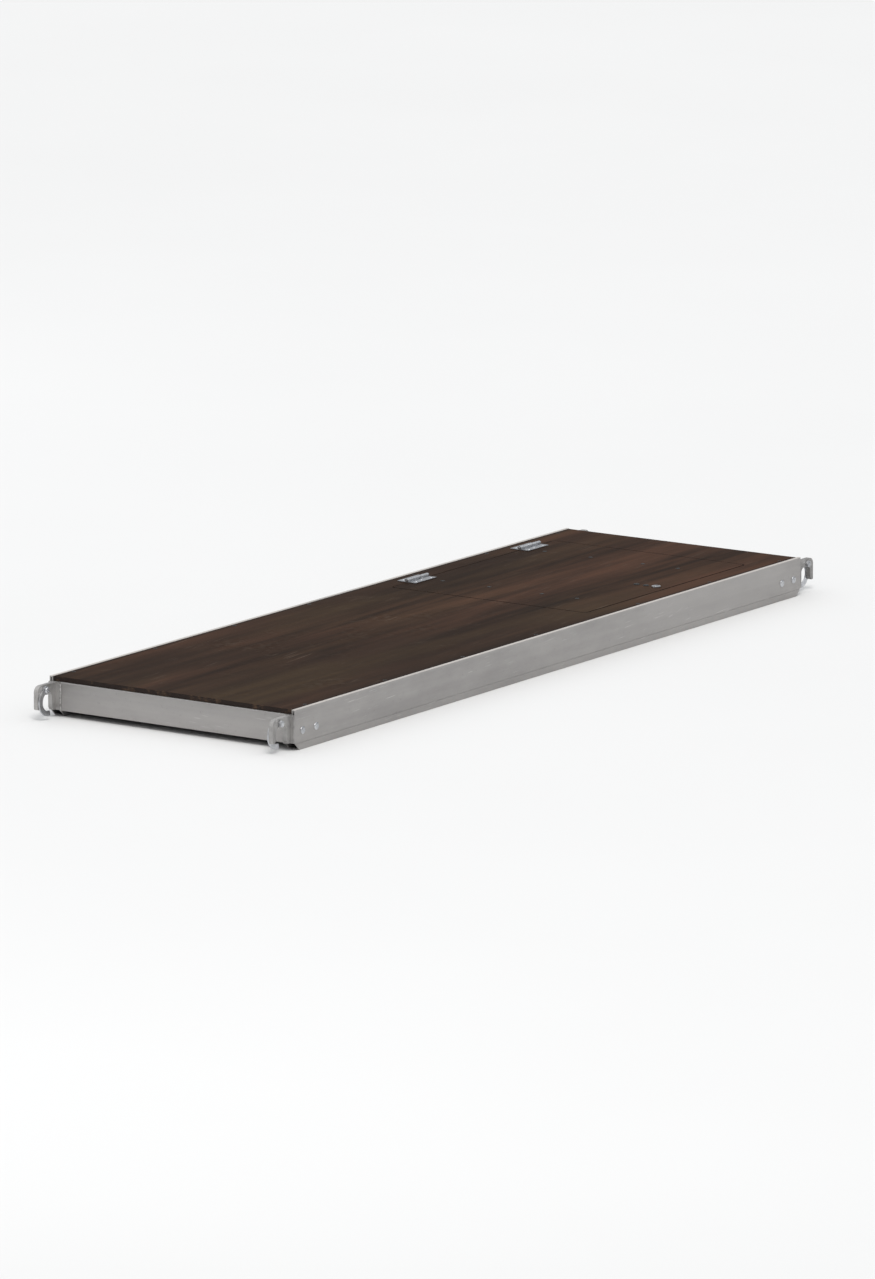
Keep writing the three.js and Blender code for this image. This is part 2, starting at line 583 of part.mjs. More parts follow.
// A hinge half: a plate on the plywood and every second knuckle round the pin, which is the origin.
function hingeHalf(side, first) {
  const pitch = HINGE_LENGTH / HINGE_KNUCKLES;
  const foot = -HINGE_BARREL_RADIUS + FIT;
  const edge = side * HINGE_REACH;
  const near = side * (HATCH_GAP / 2 + FIT);
  const plate = box(
    Math.min(edge, near),
    -HINGE_LENGTH / 2,
    foot,
    Math.max(edge, near),
    HINGE_LENGTH / 2,
    foot + HINGE_PLATE,
  );
  const barrels = [];
  const gaps = [];
  for (let i = 0; i < HINGE_KNUCKLES; i++) {
    const from = -HINGE_LENGTH / 2 + i * pitch;
    const length = [from + HINGE_KNUCKLE_GAP / 2, from + pitch - HINGE_KNUCKLE_GAP / 2];
    if (i % 2 === first) barrels.push(rod("y", HINGE_BARREL_RADIUS, ...length));
    else gaps.push(rod("y", HINGE_BARREL_RADIUS + FIT, from - 0.01, from + pitch + 0.01));
  }
  const bore = rod("y", HINGE_PIN_RADIUS + HINGE_BORE_PLAY, -HINGE_LENGTH, HINGE_LENGTH);
  return combine([combine([plate], gaps), ...barrels], [bore]);
}

function hinges() {
  const fixedHalf = hingeHalf(-1, 0);
  const movingHalf = hingeHalf(1, 1);
  const end = HINGE_LENGTH / 2;
  const pin = combine([
    rod("y", HINGE_PIN_RADIUS, -end - PIN_END, end + PIN_END),
    rod("y", HINGE_PIN_RADIUS + PIN_HEAD_RIM, end + FIT, end + PIN_HEAD_END),
  ]);
  const place = HATCH_HALF_Y - HINGE_INSET;
  return ["front", "rear"].map((where) => {
    const hinge = new THREE.Group();
    hinge.position.set(HINGE_X, where === "rear" ? place : -place, HINGE_Z);
    hinge.add(mesh(`hinge_fixed_plate_${where}`, fixedHalf, ZINC_STEEL));
    hinge.add(mesh(`hinge_moving_plate_${where}`, movingHalf, ZINC_STEEL));
    hinge.add(mesh(`hinge_pin_${where}`, pin, ZINC_STEEL));
    return hinge;
  });
}

// ---- Turn latch ---------------------------------------------------------------------------------
// A group with its origin on the latch's axis, at the leaf's underside.

function latchSpindle() {
  const face = PLY_THICKNESS + FIT;
  const end = TONGUE_FOOT - LATCH_NUT_HEIGHT - SPINDLE_END;
  const slotFloor = face + LATCH_HEAD_HEIGHT - LATCH_SLOT_DEPTH;
  const half = LATCH_SLOT_WIDTH / 2;
  const reach = LATCH_HEAD_RADIUS + OVERLAP;
  return combine(
    [
      rod("z", LATCH_HEAD_RADIUS, face, face + LATCH_HEAD_HEIGHT),
      rod("z", LATCH_SHAFT_RADIUS, end, face + OVERLAP),
    ],
    [box(-half, -reach, slotFloor, half, reach, face + LATCH_HEAD_HEIGHT + OVERLAP)],
  );
}

// The tongue points along +Y when released, and its grip the other way.
function latchTongue() {
  const half = TONGUE_HALF_WIDTH;
  const grip = KNOB_RADIUS + GRIP_RIM;
  const shape = new THREE.Shape();
  shape.moveTo(half, 0);
  shape.lineTo(half, TONGUE_REACH - TONGUE_CORNER);
  shape.lineTo(half - TONGUE_CORNER, TONGUE_REACH);
  shape.lineTo(-half + TONGUE_CORNER, TONGUE_REACH);
  shape.lineTo(-half, TONGUE_REACH - TONGUE_CORNER);
  shape.lineTo(-half, 0);
  shape.lineTo(-grip, -GRIP_REACH + grip);
  shape.absarc(0, -GRIP_REACH + grip, grip, Math.PI, 2 * Math.PI);
  const middle = TONGUE_FOOT + TONGUE_THICKNESS / 2;
  const plate = extrude(shape, TONGUE_THICKNESS, "z").translate(0, 0, middle);
  return combine([plate], [drill(LATCH_SHAFT_RADIUS, 0, 0)]);
}

function latch() {
  const foot = TONGUE_FOOT - FIT;
  const nut = combine(
    [rod("z", LATCH_NUT_RADIUS, foot - LATCH_NUT_HEIGHT, foot, 6)],
    [drill(LATCH_SHAFT_RADIUS, 0, 0)],
  );
  const knob = rod("z", KNOB_RADIUS, foot - KNOB_HEIGHT, foot);
  return [
    mesh("latch_spindle", latchSpindle(), ZINC_STEEL),
    mesh("latch_tongue", latchTongue(), ZINC_STEEL),
    mesh("latch_nut", nut, ZINC_STEEL),
    mesh("latch_knob", knob, BLACK_PLASTIC, 0, -GRIP_REACH + KNOB_RADIUS + GRIP_RIM, 0),
  ];
}

// The plate that guides the spindle.
function latchBase() {
  const farthest = Math.max(...LATCH_RIVET_OFFSETS);
  const half = LATCH_PLATE_WIDTH / 2;
  const edge = LEDGE_INNER - HATCH_GAP - LATCH_X;
  const shape = rectangle(-farthest - half / 2, -half, edge, half, LATCH_PLATE_CORNER);
  const plate = combine(
    [extrude(shape, LATCH_PLATE, "z")],
    [
      drill(LATCH_SHAFT_RADIUS, 0, 0),
      ...LATCH_RIVET_OFFSETS.map((offset) => drill(LATCH_RIVET_RADIUS, -offset, 0)),
    ],
  );
  return mesh("latch_base", plate, ZINC_STEEL, 0, 0, -FIT - LATCH_PLATE / 2);
}

// The black rivets that hold the base plate under the leaf.
function latchRivets() {
  const face = PLY_THICKNESS + FIT;
  const tail = -LATCH_PLATE - 2 * FIT;
  const rivet = combine([
    rod("z", LATCH_RIVET_HEAD_RADIUS, face, face + LATCH_RIVET_HEAD_HEIGHT),
    rod("z", LATCH_RIVET_RADIUS, tail - OVERLAP, face + OVERLAP),
    rod("z", LATCH_RIVET_TAIL_RADIUS, tail - LATCH_RIVET_TAIL_HEIGHT, tail),
  ]);
  return LATCH_RIVET_OFFSETS.map((offset, i) =>
    mesh(`latch_rivet_${i + 1}`, rivet, BLACK_STEEL, -offset, 0, 0),
  );
}

// ---- Pull strap ---------------------------------------------------------------------------------
// Its origin is at the middle of the leaf's underside. The strap hangs down, and its end lies towards -X
// on whatever the rails stand on.

// One face of the strap, offset from its middle line, across Y.
function strapFace(offset) {
  const level = -FIT - STRAP_THICKNESS / 2;
  const lowerCentreX = -STRAP_UPPER_BEND - STRAP_LOWER_BEND;
  const lowerCentreZ = -STRAP_DROP + STRAP_LOWER_BEND;
  const quarter = Math.PI / 2;
  return new THREE.Path()
    .moveTo(STRAP_PLATE_LENGTH, level + offset)
    .lineTo(0, level + offset)
    .absarc(0, level - STRAP_UPPER_BEND, STRAP_UPPER_BEND + offset, quarter, 2 * quarter)
    .absarc(lowerCentreX, lowerCentreZ, STRAP_LOWER_BEND - offset, 0, -quarter, true)
    .lineTo(lowerCentreX - STRAP_TAIL, -STRAP_DROP + offset)
    .getPoints(ARC);
}

function strapGeometry() {
  const upper = strapFace(STRAP_THICKNESS / 2);
  const lower = strapFace(-STRAP_THICKNESS / 2);
  const tail = extrude(new THREE.Shape([...upper, ...lower.reverse()]), STRAP_WIDTH, "y");
  return combine([tail], SCREW_PLACES.map(([x, y]) => drill(SCREW_RADIUS, x, y)));
}

function strap() {
  const plateTop = -2 * FIT - STRAP_THICKNESS;
  const plateFoot = plateTop - STRAP_PLATE_THICKNESS;
  const screwFoot = plateFoot - FIT;
  const half = STRAP_WIDTH / 2;
  const shape = rectangle(STRAP_PLATE_START, -half, STRAP_PLATE_LENGTH, half, STRAP_PLATE_CORNER);
  const plate = combine(
    [extrude(shape, STRAP_PLATE_THICKNESS, "z")],
    SCREW_PLACES.map(([x, y]) => drill(SCREW_RADIUS, x, y)),
  );
  const screwTip = screwFoot + SCREW_LENGTH;
  const screw = combine([
    rod("z", SCREW_HEAD_RADIUS, screwFoot - SCREW_HEAD_HEIGHT, screwFoot),
    rod("z", SCREW_RADIUS, screwFoot - OVERLAP, screwTip),
  ]);
  return [
    mesh("pull_strap", strapGeometry(), WEBBING),
    mesh("strap_plate", plate, ZINC_STEEL, 0, 0, (plateTop + plateFoot) / 2),
    ...SCREW_PLACES.map(([x, y], i) => mesh(`strap_screw_${i + 1}`, screw, ZINC_STEEL, x, y, 0)),
  ];
}

// ---- Assembly -----------------------------------------------------------------------------------

function hatch() {
  const group = new THREE.Group();
  group.position.y = HATCH_CENTRE;
  const underLeaf = new THREE.Group();
  underLeaf.position.z = DECK_UNDERSIDE;
  const latchAxis = new THREE.Group();
  latchAxis.position.set(LATCH_X, 0, 0);
  latchAxis.add(latchBase(), ...latchRivets(), ...latch());
  underLeaf.add(latchAxis, ...strap());
  group.add(leafPanel(), ...stiffeners(), ...hinges(), underLeaf);
  return group;
}

const plank = new THREE.Group();
plank.add(...rails(), ...crossTubes(), ...ledges(), deckPanel(), ...corners(), hatch());
export default plank;
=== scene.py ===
# %% [markdown]
# # A scaffold plank with a trapdoor
#
# The plank is an aluminium frame with a plywood deck. Four cast hooks carry it on the rungs of a
# scaffold, and each hook has a wind lock, a steel arm that swings under the rung so that a gust
# can't lift the plank. The trapdoor at the far end has two hinges, a turn latch and a pull strap.
#
# The solids and joints come from a CAD model, the *frame*. This lesson builds the surfaces that
# people see, and each piece rides on the CAD body that it belongs to.

import json
import math

import bmesh
import bpy
from mathutils import Matrix, Vector

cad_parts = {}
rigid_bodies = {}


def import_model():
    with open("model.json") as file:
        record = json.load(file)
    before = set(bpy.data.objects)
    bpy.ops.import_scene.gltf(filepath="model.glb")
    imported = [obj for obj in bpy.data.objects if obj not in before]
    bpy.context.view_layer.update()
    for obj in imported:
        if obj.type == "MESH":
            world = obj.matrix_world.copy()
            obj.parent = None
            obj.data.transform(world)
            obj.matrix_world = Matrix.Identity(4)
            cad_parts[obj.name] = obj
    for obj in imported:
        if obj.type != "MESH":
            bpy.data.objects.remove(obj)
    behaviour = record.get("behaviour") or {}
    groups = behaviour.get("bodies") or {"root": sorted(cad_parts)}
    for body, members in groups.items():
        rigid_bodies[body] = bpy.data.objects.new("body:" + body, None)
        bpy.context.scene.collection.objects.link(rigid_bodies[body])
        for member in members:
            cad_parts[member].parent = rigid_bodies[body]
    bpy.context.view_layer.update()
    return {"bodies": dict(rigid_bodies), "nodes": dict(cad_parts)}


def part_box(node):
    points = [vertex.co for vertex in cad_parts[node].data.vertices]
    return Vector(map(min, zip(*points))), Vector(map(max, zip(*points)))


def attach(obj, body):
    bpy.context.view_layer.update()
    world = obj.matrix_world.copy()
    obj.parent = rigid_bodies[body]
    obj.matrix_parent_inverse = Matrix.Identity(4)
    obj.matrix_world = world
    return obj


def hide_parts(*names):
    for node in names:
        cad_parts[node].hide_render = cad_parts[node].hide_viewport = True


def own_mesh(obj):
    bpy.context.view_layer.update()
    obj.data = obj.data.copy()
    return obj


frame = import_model()

MM = 0.001
CORNERS = ["front_left", "front_right", "rear_left", "rear_right"]
ENDS = ["front", "rear"]
SIDES = {"left": -1, "right": 1}  # towards -X and +X

print("bodies:", ", ".join(frame["bodies"]))

# %% [markdown]
# ## Camera
#
# A long lens from far away keeps the plank's long sides nearly parallel, as in a catalogue. The
# camera is aimed once, at the plank's middle, by turning its -Z axis along the line of sight.
# The colours are shown as they are, without a film-like curve.

# %% Camera
CAMERA_PLACE = Vector((10.226, -15.188, 3.78))
CAMERA_TARGET = Vector((0.0, 0.0, 0.03))
LENS = 249

camera_data = bpy.data.cameras.new("camera")
camera_data.lens = LENS
camera_data.clip_end = 200  # metres, past the far edge of the floor
camera = bpy.data.objects.new("camera", camera_data)
camera.location = CAMERA_PLACE
camera.rotation_euler = (CAMERA_TARGET - CAMERA_PLACE).to_track_quat("-Z", "Y").to_euler()
bpy.context.scene.collection.objects.link(camera)
bpy.context.scene.camera = camera
bpy.context.scene.view_settings.view_transform = "Standard"
print("camera is", round((CAMERA_TARGET - CAMERA_PLACE).length, 2), "m away")

# %% [markdown]
# ## Reading places from the frame
#
# Nothing here is placed by eye: every size and place is read from the box of a CAD solid. A small
# helper gives a box's corners, centre and size, so that the later steps stay short.


# %% Boxes of the CAD solids
class Box:
    """The lowest and highest corner of a CAD solid, with its centre and size."""

    def __init__(self, node):
        self.low, self.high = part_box(node)
        self.centre = (self.low + self.high) / 2
        self.size = self.high - self.low


deck = Box("deck_panel")
leaf = Box("hatch_leaf")
strap_box = Box("pull_strap")
print("deck", [round(x, 3) for x in deck.size], "leaf", [round(x, 3) for x in leaf.size])

# %% [markdown]
# ## Arithmetic on sockets
#
# Shader and geometry nodes do their sums with Math nodes, which are slow to write one by one. The
# class below wraps a socket and overloads the operators, so that `1 - mask * 0.4` adds the nodes.
# One method of the tree adds every other kind of node.


# %% Node trees written as expressions
class Value:
    """A socket that takes part in arithmetic."""

    def __init__(self, tree, socket):
        self.tree = tree
        self.socket = socket

    def output(self, identifier):
        found = [s for s in self.socket.node.outputs if s.identifier == identifier]
        return Value(self.tree, found[0])

    def math(self, operation, *values):
        return self.tree.node("ShaderNodeMath", {"operation": operation}, list(values))

    def __add__(self, other):
        return self.math("ADD", self, other)

    def __sub__(self, other):
        return self.math("SUBTRACT", self, other)

    def __rsub__(self, other):
        return self.math("SUBTRACT", other, self)

    def __mul__(self, other):
        return self.math("MULTIPLY", self, other)

    def __truediv__(self, other):
        return self.math("DIVIDE", self, other)

    __radd__ = __add__
    __rmul__ = __mul__

    def sine(self):
        return self.math("SINE", self)

    def absolute(self):
        return self.math("ABSOLUTE", self)

    def fraction(self):
        return self.math("FRACT", self)

    def between(self, start, end):
        """0 up to start and 1 from end on, with a smooth rise."""
        settings = {"interpolation_type": "SMOOTHSTEP"}
        return self.tree.node("ShaderNodeMapRange", settings, [self, start, end])


class Tree:
    """A node tree: node() adds any node, sets it and links what its sockets need."""

    def __init__(self, node_tree):
        self.nodes = node_tree.nodes
        self.links = node_tree.links

    def node(self, kind, settings=None, values=()):
        made = self.nodes.new(kind)
        for name, setting in (settings or {}).items():
            setattr(made, name, setting)
        pairs = values.items() if isinstance(values, dict) else enumerate(values)
        for key, value in pairs:
            self.feed(made, key, value)
        shown = [s for s in made.outputs if s.enabled]
        return Value(self, shown[0]) if shown else made

    def feed(self, node, key, value):
        """Sets or links an input, named by its identifier or by its number."""
        if isinstance(key, str):
            key = [s.identifier for s in node.inputs].index(key)
        socket = node.inputs[key]
        if isinstance(value, Value):
            self.links.new(value.socket, socket)
        elif socket.type == "RGBA" and len(value) == 3:
            socket.default_value = (*value, 1)
        else:
            socket.default_value = value


# %% [markdown]
# ## Sky and lights
#
# Bare metal looks like whatever surrounds it, so the sky is bright overhead and dimmer towards the
# horizon, as in a room with a lit ceiling. That shapes the rails without hard reflections. A
# broad sun gives the soft shadow, and two weak panels put a gleam on the ends.


# %% Sky
SKY_OVERHEAD = (0.97, 0.985, 1.0)
SKY_HORIZON = (0.24, 0.245, 0.25)

world = bpy.data.worlds.new("studio")
world.use_nodes = True
sky = Tree(world.node_tree)
direction = sky.node("ShaderNodeTexCoord").output("Generated")
height = sky.node("ShaderNodeSeparateXYZ", None, [direction]).output("Z").between(0.0, 0.75)
values = {"Factor_Float": height, "A_Color": SKY_HORIZON, "B_Color": SKY_OVERHEAD}
sky.feed(sky.nodes["Background"], "Color", sky.node("ShaderNodeMix", {"data_type": "RGBA"}, values))
bpy.context.scene.world = world


# %% Lights
def light(name, kind, place, energy, **settings):
    """A light that points at the plank and isn't seen itself."""
    data = bpy.data.lights.new(name, kind)
    data.energy = energy
    for setting, value in settings.items():
        setattr(data, setting, value)
    made = bpy.data.objects.new(name, data)
    made.location = place
    made.rotation_euler = (-Vector(place)).to_track_quat("-Z", "Y").to_euler()
    made.visible_camera = False
    bpy.context.scene.collection.objects.link(made)


light("key_sun", "SUN", (3.6, -4.4, 7.5), 1.55, angle=math.radians(22), color=(1.0, 0.98, 0.95))
light("front_panel", "AREA", (1.5, -4, 2.2), 9, size=2.5, color=(1.0, 0.99, 0.97))
light("side_panel", "AREA", (-4.5, 1.0, 2.6), 9, size=2.5, color=(0.95, 0.97, 1.0))

# %% [markdown]
# ## Finishes
#
# Each finish is a small recipe on Object coordinates, which are metres on the plank itself, so a
# pattern keeps its real scale and stays put when the trapdoor opens. The same few patterns come
# back in most of them: a noise stretched along the way a piece was drawn or rolled, a blotch for
# stains, and thin scratches. A finish also names the material slot of the CAD model that it is
# the surface of.


# %% A material's tree
class Finish(Tree):
    """A Principled material whose colour, roughness and bump are filled in by expressions."""

    slots = {}

    def __init__(self, name, slot, **constants):
        self.material = bpy.data.materials.new(name)
        self.slots[self.material.name] = slot
        self.material.use_nodes = True
        super().__init__(self.material.node_tree)
        self.shader = self.nodes["Principled BSDF"]
        for socket, number in constants.items():
            self.feed(self.shader, socket.replace("_", " "), number)
        self.place = self.node("ShaderNodeTexCoord").output("Object")

    def noise(self, scale, stretch=(1, 1, 1), detail=3.0, rough=0.5, shift=0.0):
        """Noise with features of about 1/scale metres, longer where stretch is under 1."""
        settings = {"vector_type": "POINT"}
        values = {"Vector": self.place, "Scale": stretch, "Location": (shift, shift, shift)}
        where = self.node("ShaderNodeMapping", settings, values)
        numbers = {"Vector": where, "Scale": scale, "Detail": detail, "Roughness": rough}
        return self.node("ShaderNodeTexNoise", None, numbers)

    def axis(self, name):
        return self.node("ShaderNodeSeparateXYZ", None, [self.place]).output(name)

    def mix(self, factor, first, second):
        values = {"Factor_Float": factor, "A_Color": first, "B_Color": second}
        return self.node("ShaderNodeMix", {"data_type": "RGBA"}, values)

    def scratches(self, scale, longer, turn, share=0.5, shift=0.0):
        """Sparse straight marks: the peaks of a noise drawn out in one direction, in patches."""
        values = {"Vector": self.place, "Scale": longer, "Rotation": turn, "Location": (shift, 0, 0)}
        where = self.node("ShaderNodeMapping", {"vector_type": "TEXTURE"}, values)
        numbers = {"Vector": where, "Scale": scale, "Detail": 1.5, "Roughness": 0.4}
        peaks = self.node("ShaderNodeTexNoise", None, numbers).between(0.66, 0.735)
        patches = self.noise(7, (1, 1, 1), 3, 0.6, shift + 3).between(0.95 - share, 1.1 - share)
        return peaks * patches

    def done(self, colour, roughness, height=None, depth=0.0001, strength=1.0):
        self.feed(self.shader, "Base Color", colour)
        self.feed(self.shader, "Roughness", roughness)
        if height is not None:
            values = {"Strength": strength, "Distance": depth, "Height": height}
            self.feed(self.shader, "Normal", self.node("ShaderNodeBump", None, values))
        return self.material


# %% [markdown]
# ### Drawn aluminium
#
# Rails and tubes come out of a die, which leaves fine lines along them. Use dulls them in blotches
# and leaves scratches. The lines run along one axis of the plank, so there is a finish for each
# direction. A mask on the height paints the top of the rails' lip a pale satin: partly wear where
# boots and the next plank rub it, mostly a painted highlight that makes the bright line along the
# deck.

# %% Drawn aluminium
ALUMINIUM_LIGHT = (0.44, 0.425, 0.415)
ALUMINIUM_DULL = (0.27, 0.26, 0.256)
ALUMINIUM_SCRATCH = (0.66, 0.65, 0.64)
# Painted highlight colour for the lip's top, partly standing for rub wear
ALUMINIUM_LIP_HIGHLIGHT = (0.56, 0.525, 0.495)
ALUMINIUM_METALLIC = 0.86
LIP_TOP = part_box("side_rail_right")[1].z


def drawn_aluminium(name, along):
    """Mill-finish aluminium with its die lines along one axis; the lip's top gets a painted
    highlight, partly rub wear.
    """
    finish = Finish(name, "rail_aluminium")

    def drawn(length):
        return (length, 1, 1) if along == "x" else (1, length, 1)

    lines = finish.noise(900, drawn(0.006), 3, 0.6)
    bands = finish.noise(60, drawn(0.006), 2, 0.5, 1.7)
    stains = finish.noise(9, drawn(0.35), 5, 0.62)
    specks = finish.noise(160, detail=2, shift=5).between(0.66, 0.74)
    scratch = finish.scratches(420, drawn(60), (0.05, 0.03, 0.04), 0.5)
    scratch = scratch + finish.scratches(330, (14, 14, 1), (0.6, 0.5, 0.7), 0.36, 2) * 0.7
    dull = stains.between(0.35, 0.72) * 0.34 + bands * 0.4 + specks * 0.2
    colour = finish.mix(dull, ALUMINIUM_LIGHT, ALUMINIUM_DULL)
    colour = finish.mix(scratch * 0.55, colour, ALUMINIUM_SCRATCH)
    # Painted highlight: a height mask makes the lip's top paler and less metallic, partly as rub wear
    rubbed_lip_highlight = finish.axis("Z").between(LIP_TOP - 1.2 * MM, LIP_TOP - 0.3 * MM)
    rubbed_lip_highlight = rubbed_lip_highlight * (1 - stains.between(0.5, 0.75) * 0.5)
    colour = finish.mix(rubbed_lip_highlight, colour, ALUMINIUM_LIP_HIGHLIGHT)
    finish.feed(finish.shader, "Metallic", ALUMINIUM_METALLIC - rubbed_lip_highlight * 0.55)
    rough = 0.34 + dull * 0.22 + lines * 0.08
    height = lines * 0.7 + bands * 0.4 - scratch * 0.7
    return finish.done(colour, rough, height, 0.00012, 0.7)


ALUMINIUM_ALONG = drawn_aluminium("aluminium_along_y", "y")
ALUMINIUM_ACROSS = drawn_aluminium("aluminium_along_x", "x")
print("drawn aluminium along Y and along X made")

# %% [markdown]
# ### Cast aluminium and weld metal
#
# The hooks are cast and then blasted, which leaves a dull, sandy skin with low lumps, so their bump
# has a fine and a coarse noise. The weld beads are brighter than the metal beside them, apart
# from the grey smut that the arc leaves.

# %% Cast aluminium and weld metal
CAST_LIGHT = (0.46, 0.45, 0.44)
CAST_DARK = (0.29, 0.283, 0.278)
WELD_BRIGHT = (0.55, 0.54, 0.53)
WELD_SMUT = (0.27, 0.265, 0.26)


def cast_aluminium():
    """The hooks: a sandy skin that has been blasted, brighter where it is rubbed."""
    finish = Finish("cast_aluminium", "cast_aluminium", Metallic=0.8)
    sand = finish.noise(900, detail=4, rough=0.75)
    lumps = finish.noise(260, detail=3)
    stains = finish.noise(22, detail=4, rough=0.6, shift=2)
    scratch = finish.scratches(380, (1, 9, 9), (0.4, 0.2, 0.3), 0.45, 4)
    colour = finish.mix(stains.between(0.35, 0.7), CAST_LIGHT, CAST_DARK)
    colour = finish.mix(scratch * 0.5, colour, ALUMINIUM_SCRATCH)
    rough = 0.42 + sand * 0.22
    return finish.done(colour, rough, sand * 0.9 + lumps * 0.9 - scratch * 0.5, 0.0009, 1.0)


def weld_metal():
    """Weld beads: bright ripples with a grey bloom of smut at their edges."""
    finish = Finish("weld_metal", "rail_aluminium", Metallic=0.85)
    smut = finish.noise(90, detail=4, rough=0.6)
    grain = finish.noise(1800, detail=2)
    colour = finish.mix(smut.between(0.4, 0.65), WELD_BRIGHT, WELD_SMUT)
    return finish.done(colour, 0.32 + smut * 0.3, grain, 0.00005, 0.5)


CAST_ALUMINIUM = cast_aluminium()
WELD_METAL = weld_metal()
print("cast aluminium and weld metal made")

# %% [markdown]
# ### Film-faced plywood
#
# The deck is birch plywood under a dark brown film. The veneer's grain shows through the film as
# soft brown, reddish and olive streaks along the plank. Boots leave pale scuffs and dust, and
# painted shade darkens the deck along the rails. The edges are painted with a dark sealer, which
# has worn enough to show the plies. Stretched noises in a few colours give this without an image.

# %% Plywood film
FILM_DARK = (0.0125, 0.0072, 0.0047)
FILM_BROWN = (0.0430, 0.0235, 0.0148)
FILM_WARM = (0.0880, 0.0405, 0.0245)
FILM_OLIVE = (0.0500, 0.0335, 0.0165)
SCUFF = (0.17, 0.135, 0.11)
DUST = (0.20, 0.175, 0.15)
# Width of the painted shade line along the deck's long edges, beside the rails' lips
LIP_SHADE_WIDTH = 12 * MM  # of the dark line beside the rails' lips
# The dark sealer of the board's edges, also the colour of the painted shade on the deck
SEALER_AND_SHADE_DARK = (0.018, 0.012, 0.010)


def plywood_film():
    """Brown film over veneer: streaks along the board, then dust, scuffs and painted shade along the
    rails.
    """
    finish = Finish("plywood_film", "plywood", Specular_IOR_Level=0.03)
    broad = finish.noise(9, (1, 0.11, 1), 3, 0.5)
    streak = finish.noise(48, (1, 0.05, 1), 4, 0.6, 2.3)
    grain = finish.noise(420, (1, 0.022, 1), 3, 0.65, 4.1)
    warm = finish.noise(4.5, (1, 0.2, 1), 2, 0.5, 6.2)
    olive = finish.noise(6, (1, 0.16, 1), 2, 0.5, 9.4)
    mottle = finish.noise(75, detail=3, shift=8)
    scuff = finish.scratches(300, (1, 45, 1), (0, 0, 0.09), 0.5)
    scuff = scuff + finish.scratches(260, (1, 30, 1), (0, 0, -0.5), 0.42, 7)
    scuff = scuff + finish.scratches(220, (24, 1, 1), (0, 0, 0.25), 0.36, 12)
    trodden = finish.noise(5, (1, 0.5, 1), 5, 0.7, 11).between(0.5, 0.8)
    tone = broad.between(0.3, 0.72) * 0.62 + streak.between(0.3, 0.75) * 0.38
    colour = finish.mix(tone, FILM_DARK, FILM_BROWN)
    colour = finish.mix(olive.between(0.46, 0.68) * tone * 0.6, colour, FILM_OLIVE)
    colour = finish.mix(warm.between(0.42, 0.7) * tone * 0.8, colour, FILM_WARM)
    colour = finish.mix(grain.between(0.52, 0.75) * 0.35, colour, FILM_DARK)
    colour = finish.mix(trodden * mottle.between(0.4, 0.7) * 0.14, colour, DUST)
    colour = finish.mix(scuff * 0.34, colour, SCUFF)
    # Painted shade: the deck is darkened with the sealer colour near its long edges, beside the
    # rails' lips
    across = finish.axis("X").absolute()
    lip_gap_shade = across.between(deck.high.x - LIP_SHADE_WIDTH, deck.high.x - 2 * MM)
    colour = finish.mix(lip_gap_shade * 0.7, colour, SEALER_AND_SHADE_DARK)
    rough = 0.5 + trodden * 0.16 + scuff * 0.2 + mottle * 0.08 + streak * 0.06
    height = grain * 0.5 + streak * 0.6 + mottle * 0.25 - scuff * 0.7
    return finish.done(colour, rough, height, 0.00012, 0.6)


PLYWOOD_FILM = plywood_film()

# %% Plywood edge
PLY_COUNT = 7
PLY_LIGHT = (0.105, 0.066, 0.042)
PLY_DARK = (0.045, 0.027, 0.017)


def plywood_edge():
    """The sawn edge: the plies show where the dark sealer has worn off."""
    finish = Finish("plywood_edge", "plywood", Specular_IOR_Level=0.15)
    level = (finish.axis("Z") - deck.low.z) / deck.size.z
    wobble = finish.noise(35, detail=2) * 0.05
    plies = ((level + wobble) * PLY_COUNT * math.pi).sine().between(-0.35, 0.35)
    fibres = finish.noise(260, (0.12, 0.12, 1), 3, 0.6)
    worn = finish.noise(38, detail=4, rough=0.65, shift=3).between(0.52, 0.7)
    wood = finish.mix(plies, PLY_DARK, PLY_LIGHT)
    wood = finish.mix(fibres.between(0.45, 0.75) * 0.5, wood, PLY_DARK)
    colour = finish.mix(worn * 0.75, SEALER_AND_SHADE_DARK, wood)
    height = plies * worn * 0.8 + fibres * 0.6 + worn * -0.6
    return finish.done(colour, 0.62 + worn * 0.2, height, 0.0002, 0.7)


PLYWOOD_EDGE = plywood_edge()
print("plywood finishes made")

# %% [markdown]
# ### Steel, plastic and webbing
#
# The small steel parts are zinc plated: bluish, blotchy and fairly bright. The screws in the deck
# and a few rivets are blackened. The latch's knob is moulded plastic, and the strap is woven
# polyester. Its weave follows the strap by its own UV map, because a pattern on Object
# coordinates would shear where the strap bends.


# %% Zinc plate
ZINC_LIGHT = (0.60, 0.61, 0.63)
ZINC_DULL = (0.43, 0.44, 0.46)
ZINC_STAIN = (0.30, 0.285, 0.26)
ZINC_SCRATCH = (0.72, 0.72, 0.73)


def zinc_plate():
    """Zinc plate with its cloudy grain, a few brown stains and scratches."""
    finish = Finish("zinc_plate", "zinc_steel", Metallic=1.0)
    cloud = finish.noise(70, detail=4, rough=0.6)
    fine = finish.noise(900, detail=2)
    stain = finish.noise(28, detail=5, rough=0.7, shift=3).between(0.52, 0.72)
    scratch = finish.scratches(700, (1, 12, 12), (0.3, 0.2, 0.5), 0.5, 1)
    colour = finish.mix(cloud.between(0.3, 0.7), ZINC_LIGHT, ZINC_DULL)
    colour = finish.mix(stain * 0.45, colour, ZINC_STAIN)
    colour = finish.mix(scratch * 0.5, colour, ZINC_SCRATCH)
    rough = 0.26 + cloud * 0.14 + stain * 0.2
    return finish.done(colour, rough, fine * 0.5 + cloud * 0.6 - scratch * 0.6, 0.00005, 0.5)


ZINC = zinc_plate()

